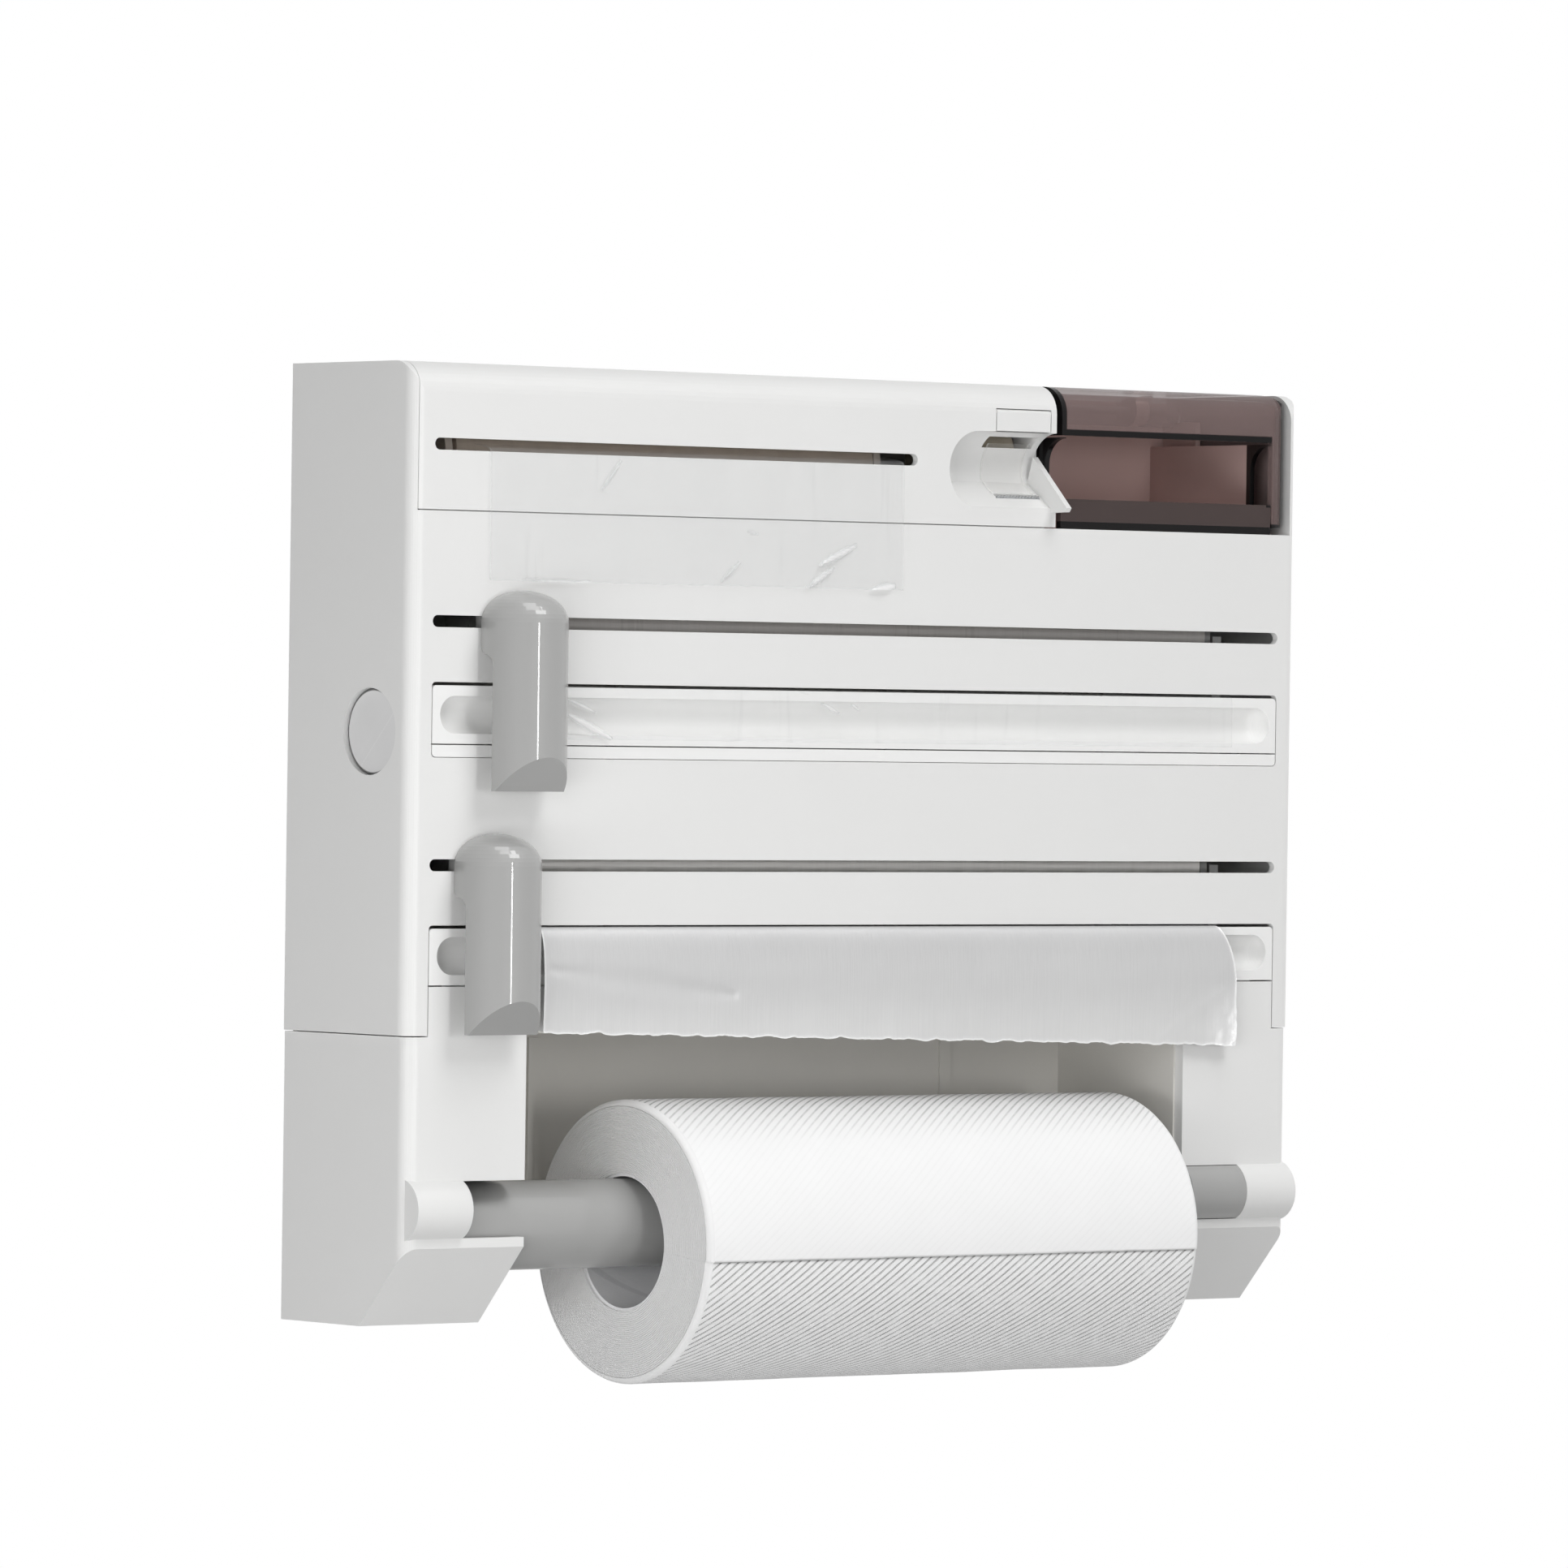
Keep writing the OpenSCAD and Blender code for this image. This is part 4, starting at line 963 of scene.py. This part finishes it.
@dataclass
class HangingWeb:
    """The end of a web that comes out of a slit and hangs down the front."""

    node: str
    body: str
    slot: str
    ink: Ink
    x0: float
    x1: float
    path: SideLine
    seed: int
    swell: float
    torn: float
    rests_on: tuple[str, ...]
    creases: tuple[Crease, ...] = ()
    thickness: float = 0.12
    # strength of the painted highlight along the edges
    edge_highlight: float = 0.0
    curl: float = 0.0
    slant: float = 0.0
    drift: float = 0.0
    manner: str = "hung"
    columns: int = 300
    rows: int = 60

    def build(self, dresser: Dresser) -> None:
        line = smooth_line(self.path, self.rows)
        length = float(np.linalg.norm(np.diff(line, axis=0), axis=1).sum())
        way = np.linspace(0, 1, self.rows)[None, :]
        x = np.linspace(self.x0, self.x1, self.columns)[:, None]
        rag = Ripples(self.seed + 5, 14, 1.2, 18)
        across = (x - self.x0) / (self.x1 - self.x0)
        ends = 1 - (self.torn * (1.0 + rag.at(x, 0 * x)) + self.slant * (1 - across)) / length
        share = way * ends
        y, z = (np.interp(share, way[0], line[:, i]) for i in range(2))
        slope = np.gradient(line, axis=0)
        slope /= np.linalg.norm(slope, axis=1)[:, None]
        out_y, out_z = (np.interp(share, way[0], v) for v in (slope[:, 1], -slope[:, 0]))
        free = np.clip((share - 0.18) / 0.3, 0, 1)
        waves = Ripples(self.seed, 120, 9)
        lift = self.swell * free * (0.5 + 0.5 * waves.at(x, z))
        # white: painted highlights along the creases, at the edges and on the crumpled corner, kept as
        # the crease trait
        white = np.zeros_like(share)
        for crease in self.creases:
            near = crease.near(x + 0 * z, z)
            lift = lift + crease.lift * near * np.clip(share * 4, 0, 1)
            white = white + crease.white * near
        side = np.minimum(np.abs(x - self.x0), np.abs(x - self.x1))
        low = (1 - way) * length
        border = np.exp(-((side / 0.7) ** 2)) + np.exp(-((low / 0.6) ** 2))
        white = white + self.edge_highlight * border
        corner = np.clip((x - self.x1 + 14) / 14, 0, 1) * np.clip((share - 0.55) / 0.45, 0, 1)
        crumple = Ripples(self.seed + 9, 9, 2.2)
        lift = lift + self.curl * corner * (0.6 + crumple.at(x, z))
        # painted highlight on the crumpled corner
        white = white + (0.8 * corner if self.curl else 0.0)
        upper = np.clip(1 - (share - 0.1) / 0.45, 0, 1)
        shift_x = -0.35 * self.curl * corner - self.drift * across**2 * upper**2
        front = np.stack([x + shift_x + 0 * z, y + lift * out_y, z + lift * out_z], -1)
        inner = np.stack([0 * z, out_y, out_z], -1) * self.thickness
        points = np.concatenate([front.reshape(-1, 3), (front - inner).reshape(-1, 3)])
        white = np.clip(white, 0, 1)
        piece = make_piece(
            self.node + "_web",
            points,
            shell_faces(self.columns, self.rows).tolist(),
            {"crease": np.concatenate([white.ravel(), white.ravel()])},
            60.0,
        )
        dresser.seat(piece, self.ink, self.body, self.node)
        flat = ((self.x1 - self.x0) * MM, (length - self.slant / 2) * MM)
        LOG.info("%s %s, %.0f by %.0f mm", self.manner, piece.name, self.x1 - self.x0, length)


@dataclass
class Spring:
    """A coil of round wire between its fixed and free ends."""

    node: str
    body: str
    joint: str
    fixed: float
    free: float
    axis_y: float
    axis_z: float
    radius: float
    wire: float
    turns: int
    travel: float
    steps: int = 36
    sides: int = 8

    def build(self, dresser: Dresser) -> None:
        """Builds the coil and puts it in its node's place."""
        count = self.turns * self.steps + 1
        turn = np.linspace(0, TURN * self.turns, count)[:, None]
        ring = np.linspace(0, TURN, self.sides, endpoint=False)[None, :]
        inset = math.copysign(self.wire, self.free - self.fixed)
        run = np.linspace(self.fixed + inset, self.free - inset, count)[:, None]
        reach = self.radius + self.wire * np.cos(ring)
        along = run + self.wire * np.sin(ring)
        points = around_axis(along, reach, np.pi - turn, self.axis_y, self.axis_z)
        last = (count - 1) * self.sides
        caps = [list(range(self.sides)), list(range(last, last + self.sides))]
        faces = lattice(count, self.sides, False, True).tolist() + caps
        piece = make_piece(self.node + "_coil", points, faces, {})
        dresser.seat(piece, Ink.SPRING, self.body, self.node)
        anchor = (self.fixed * MM, self.axis_y * MM, self.axis_z * MM)
        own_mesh(piece)


@dataclass
class Housing:
    """The moulded housing, its brackets, latches, buttons and cutters."""

    white: tuple[str, ...] = (
        "lower_base", "front_cover", "top_lid", "tape_hatch",
        "left_bracket", "right_bracket", "bag_bracket",
    )
    panels: tuple[str, ...] = ("film_trough", "foil_trough", "cut_strip")
    grey: tuple[str, ...] = (
        "upper_cutter", "lower_cutter", "upper_carriage", "lower_carriage", "rod_sleeve",
        "rod_tube", "film_plugs", "foil_plugs", "tape_reel",
    )
    springs: tuple[Spring, ...] = (
        Spring(
            "left_spring", "cover", "left_button_press", fixed=-186.0, free=-190.6,
            axis_y=BUTTON_Y, axis_z=BUTTON_Z, radius=8.4, wire=0.35, turns=3, travel=3.0,
        ),
        Spring(
            "right_spring", "cover", "right_button_press", fixed=186.0, free=190.6,
            axis_y=BUTTON_Y, axis_z=BUTTON_Z, radius=8.4, wire=0.35, turns=3, travel=3.0,
        ),
        Spring(
            "rod_spring", "chassis", "rod_press", fixed=47.8, free=-17.8,
            axis_y=-50.5, axis_z=-148.4, radius=8.5, wire=0.8, turns=11, travel=26.0,
        ),
    )

    def dress(self, dresser: Dresser) -> None:
        """Gives the housing's nodes their finishes and coils its springs."""
        for spring in self.springs:
            spring.build(dresser)
        dresser.dress_nodes(Ink.WHITE, *self.white)
        dresser.dress_nodes(Ink.PANEL, *self.panels)
        dresser.dress_nodes(Ink.GREY, *self.grey)
        # their grey stands for the shade in the roll bay: painted shade
        dresser.dress_nodes(Ink.SHADE_LINING, "wall_plate", "bay_liner")
        dresser.dress_nodes(Ink.BUTTON, "left_button", "right_button")
        dresser.dress_nodes(Ink.STEEL, "upper_blade", "lower_blade", "tape_blade")
        dresser.dress_nodes(Ink.STEEL, "lid_pin", "hood_pin")
        dresser.dress_nodes(Ink.SPRING, "left_latch", "right_latch")
        dresser.dress_nodes(Ink.SCREW, "frame_screws")
        dresser.dress_nodes(Ink.PALE_PLUG, "bag_plugs")
        dresser.dress_nodes(Ink.GREY_BOARD, "paper_core")
        dresser.dress_nodes(Ink.BOARD, "film_core", "foil_core", "bag_core")
        dresser.dress_nodes(Ink.SMOKE, "bin_hood")
        dresser.dress_nodes(Ink.SMOKE_TRAY, "bin_tray")


@dataclass
class RollStore:
    """The rolls behind the slots, the tape roll, and the ends that hang out."""

    rolls: list[WoundRoll] = field(
        default_factory=lambda: [
            WoundRoll(
                "film_winding", "film_roll", "film", Ink.FILM_ROLL, x0=WEB_X0, x1=WEB_X1,
                axis_y=ROLLS_Y, axis_z=53.1, radius=19, bore=ROLLS_BORE, seed=21,
            ),
            WoundRoll(
                "foil_winding", "foil_roll", "foil", Ink.FOIL_ROLL, x0=WEB_X0, x1=WEB_X1,
                axis_y=ROLLS_Y, axis_z=-27.6, radius=18, bore=ROLLS_BORE, seed=22,
            ),
            WoundRoll(
                "bag_winding", "bag_roll", "bag_film", Ink.BAG_ROLL, x0=-165, x1=14,
                axis_y=ROLLS_Y, axis_z=109.7, radius=17, bore=ROLLS_BORE, seed=23,
            ),
            WoundRoll(
                "tape_winding", "tape_roll", "tape", Ink.TAPE_ROLL, x0=59, x1=78.5,
                axis_y=-33.5, axis_z=112.5, radius=18.5, bore=12.7, seed=24,
                step=0.08, ripple=0.02, turns=120, stations=24,
            ),
        ]
    )
    bag_creases: tuple[Crease, ...] = (
        Crease(-117.3, 97.9, -108.8, 108.2, 0.9, 0.6, 0.55),
        Crease(-65.7, 68.5, -57.7, 75.3, 0.9, 0.7, 0.6),
        Crease(-28.3, 67.1, -17.1, 73.9, 1.1, 0.9, 0.8),
        Crease(-22.8, 74.9, -7.3, 81.8, 1.3, 0.9, 0.9),
        Crease(0.2, 66.4, 9.8, 68.3, 1.6, 0.7, 1.0),
        Crease(-54.4, 85.5, -49.5, 84.5, 0.6, 0.4, 0.5),
        Crease(-150.0, 67.4, -121.7, 67.0, 0.7, 0.4, 0.6),
    )
    film_creases: tuple[Crease, ...] = (
        Crease(-130.0, 27.8, -118.9, 23.6, 0.9, 0.5, 0.7),
        Crease(-129.9, 22.6, -111.9, 15.0, 1.5, 0.6, 0.9),
        Crease(-21.0, 27.7, -13.4, 24.2, 0.8, 0.5, 0.7),
        Crease(-8.5, 27.6, -4.9, 25.7, 0.7, 0.4, 0.6),
        Crease(-32.4, 32.0, -27.0, 30.7, 0.4, 0.3, 0.2),
    )
    foil_creases: tuple[Crease, ...] = (
        Crease(-137.1, -62.3, -60.0, -71.0, 4.0, -0.5, 0.0),
        Crease(130.0, -88.0, 160.0, -70.0, 2.0, 0.15, 0.0),
    )
    film_path: SideLine = (
        (-62.5, 32.45), (-68.1, 32.45), (-69.5, 31.95), (-69.9, 29.95), (-70.0, 24.45), (-69.9, 14.2),
    )
    foil_path: SideLine = (
        (-62.5, -48.05), (-67.9, -48.05), (-69.9, -48.55), (-71.1, -50.25), (-72.1, -54.05),
        (-72.6, -60.05), (-72.7, -68.05), (-72.5, -78.05), (-72.3, -91.2),
    )
    tape_path: SideLine = (
        (-59.94, 118.59), (-57.48, 115.32), (-56.13, 111.47), (-55.98, 108.0),
        (-56.34, 106.04), (-58.18, 104.25), (-62.42, 101.25),
    )
    bag_path: SideLine = (
        (-60.5, 112.3), (-66.5, 111.4), (-69.3, 110.4), (-69.7, 108.5), (-69.8, 99.7),
        (-69.8, 81.7), (-69.9, 66.5),
    )

    def build(self, dresser: Dresser) -> None:
        """Builds the windings and the hanging ends."""
        for roll in self.rolls:
            roll.build(dresser)
        HangingWeb(
            "film_sheet", "cover", "film", Ink.FILM, WEB_X0, WEB_X1, self.film_path, seed=41,
            swell=0.25, torn=0.3, rests_on=("film_trough",), creases=self.film_creases,
            thickness=0.1, edge_highlight=0.12,
        ).build(dresser)
        HangingWeb(
            "foil_sheet", "cover", "foil", Ink.FOIL, WEB_X0, 165.5, self.foil_path, seed=43,
            swell=0.8, torn=1.1, rests_on=("foil_trough",), creases=self.foil_creases,
            thickness=0.12, edge_highlight=0.9, curl=1.6, slant=6.76, drift=7.5,
        ).build(dresser)
        HangingWeb(
            "bag_sheet", "lid", "bag_film", Ink.BAG, -163.5, 14, self.bag_path, seed=47,
            swell=0.6, torn=0.4, rests_on=("top_lid",), creases=self.bag_creases,
            thickness=0.1, edge_highlight=0.22,
        ).build(dresser)
        HangingWeb(
            "tape_strip", "lid", "tape", Ink.TAPE, 59.2, 78.1, self.tape_path, seed=53,
            swell=0.08, torn=0.15, rests_on=("top_lid",), thickness=0.06, edge_highlight=0.5,
            manner="laid", columns=60, rows=44,
        ).build(dresser)


@dataclass
class Studio:
    """Plain soft light, a pale floor and the camera of the photograph."""

    floor_z: float = -0.36
    ambient: float = 0.11
    yaw: float = 38.786
    pitch: float = 0.362
    roll: float = 0.802
    distance: float = 3.53889
    target: Spot = (-0.00935, -0.03545, 0.0)
    lens: float = 236.574
    sensor: float = 36.0
    clip_end: float = 50.0
    floor_tone: float = 0.68
    floor_lift: float = 0.55
    shadow_zone: tuple[float, float] = (320.0, 850.0)

    def build(self) -> None:
        """Builds the light, the floor and the camera."""
        bpy.context.scene.view_settings.view_transform = "Standard"
        self.build_world()
        self.build_floor()
        self.add_lamp("key", (0.55, -1.8, 2.2), (1.2, 1.2), 34.0)
        self.add_lamp("strip", (-0.05, -2.6, 0.03), (0.14, 0.7), 9.6)
        self.add_lamp("top", (0.0, -0.6, 2.2), (1.0, 1.0), 11.0)
        self.add_lamp("left_low", (-0.85, -0.55, -0.18), (0.5, 0.25), 1.7, False)
        self.add_lamp("left_high", (-1.7, -1.4, 0.4), (0.8, 0.8), 7.0, False)
        self.add_lamp("left_wide", (-1.6, -0.45, -0.18), (0.9, 0.3), 2.7, False)
        self.add_lamp("right", (1.9, -0.1, 0.15), (0.6, 0.6), 7.0, False)
        self.add_lamp("back", (0.5, 2.4, 0.25), (1.0, 0.8), 22.0, False)
        self.build_camera()

    @staticmethod
    def seen(graph: Graph) -> Sock:
        """1 for rays that show the backdrop itself: camera, mirror and see-through rays."""
        node = graph.add("ShaderNodeLightPath").socket.node
        camera, mirror, through = (
            Sock(graph, node.outputs[f"Is {kind} Ray"]) for kind in ("Camera", "Glossy", "Transmission")
        )
        return camera.either(mirror).either(through)

    def build_world(self) -> None:
        """Builds an even pale world that is white where it is seen."""
        world = bpy.data.worlds.new("studio_light")
        bpy.context.scene.world = world
        world.use_nodes = True
        graph = Graph(world.node_tree, "ShaderNodeOutputWorld")
        soft = graph.add("ShaderNodeBackground", {}, {"Color": WHITE, "Strength": self.ambient})
        plain = graph.add("ShaderNodeBackground", {}, {"Color": WHITE, "Strength": 1.0})
        graph.close(graph.add("ShaderNodeMixShader", {}, {0: self.seen(graph), 1: soft, 2: plain}))

    def build_floor(self) -> None:
        """Builds the floor, which keeps the shadow near the object and fades to white."""
        count = 48
        turn = np.linspace(0, TURN, count, endpoint=False)
        radii = np.array([0.3, 0.8, 2.0, 9.0])[:, None]
        rings = np.stack([radii * np.cos(turn), radii * np.sin(turn), 0 * radii * turn], -1)
        points = np.concatenate([rings.reshape(-1, 3), [[0.0, 0.0, 0.0]]])
        points[:, 2] += self.floor_z
        mesh = bpy.data.meshes.new("floor")
        hub = len(points) - 1
        disc = [(i, (i + 1) % count, hub) for i in range(count)]
        faces = lattice(len(radii), count, False, True)[:, ::-1].tolist() + disc
        mesh.from_pydata(points.tolist(), [], faces)
        floor = bpy.data.objects.new("floor", mesh)
        bpy.context.scene.collection.objects.link(floor)
        material = bpy.data.materials.new("pale_floor")
        material.use_nodes = True
        graph = Graph(material.node_tree, "ShaderNodeOutputMaterial")
        x, y, _z = graph.axes(graph.place())
        far = ((x * x + y * y) ** 0.5).between(*self.shadow_zone)
        tone = (self.floor_tone,) * 3
        matt = graph.surface(Base_Color=tone, Roughness=0.9, Specular_IOR_Level=0.1)
        white = graph.add("ShaderNodeEmission", {}, {"Color": WHITE, "Strength": 1.0})
        camera = graph.add("ShaderNodeLightPath", result="Is Camera Ray")
        share = self.seen(graph) * far + camera * self.floor_lift * (1.0 - far)
        graph.close(graph.add("ShaderNodeMixShader", {}, {0: share, 1: matt, 2: white}))
        mesh.materials.append(material)

    @staticmethod
    def add_lamp(
        name: str, spot: Spot, size: tuple[float, float], power: float, gloss: bool = True
    ) -> None:
        """Adds a soft lamp that looks at the object.

        Args:
            name: The lamp's name.
            spot: Its place in metres.
            size: Its width and height in metres.
            power: Its power in watts.
            gloss: Whether it shows in glossy surfaces.
        """
        lamp = bpy.data.lights.new(name, "AREA")
        lamp.shape = "RECTANGLE"
        lamp.size, lamp.size_y = size
        lamp.energy = power
        holder = bpy.data.objects.new(name, lamp)
        holder.location = spot
        holder.rotation_euler = (-Vector(spot)).to_track_quat("-Z", "Y").to_euler()
        holder.visible_camera = False
        holder.visible_glossy = gloss
        bpy.context.scene.collection.objects.link(holder)

    def build_camera(self) -> None:
        """Builds the camera from its yaw, pitch, roll and distance."""
        yaw, pitch, roll = (math.radians(v) for v in (self.yaw, self.pitch, self.roll))
        level = math.cos(pitch)
        back = Vector((-math.sin(yaw) * level, -math.cos(yaw) * level, math.sin(pitch)))
        right = (-back).cross(Vector((0, 0, 1))).normalized()
        top = right.cross(-back)
        side = right * math.cos(roll) + top * math.sin(roll)
        rise = top * math.cos(roll) - right * math.sin(roll)
        spot = Vector(self.target) + back * self.distance
        turn = Matrix((side, rise, back)).transposed().to_4x4()
        data = bpy.data.cameras.new("camera")
        data.lens = self.lens
        data.sensor_width = self.sensor
        data.clip_end = self.clip_end
        camera = bpy.data.objects.new("camera", data)
        camera.matrix_world = Matrix.Translation(spot) @ turn
        bpy.context.scene.collection.objects.link(camera)
        bpy.context.scene.camera = camera


def main() -> None:
    """Builds the looks in order."""
    logging.basicConfig(level=logging.INFO, format="%(name)s: %(message)s")
    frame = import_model()
    dresser = Dresser(frame["nodes"])
    Studio().build()
    Housing().dress(dresser)
    KitchenRoll().build(dresser)
    RollStore().build(dresser)


if __name__ == "__main__":
    main()
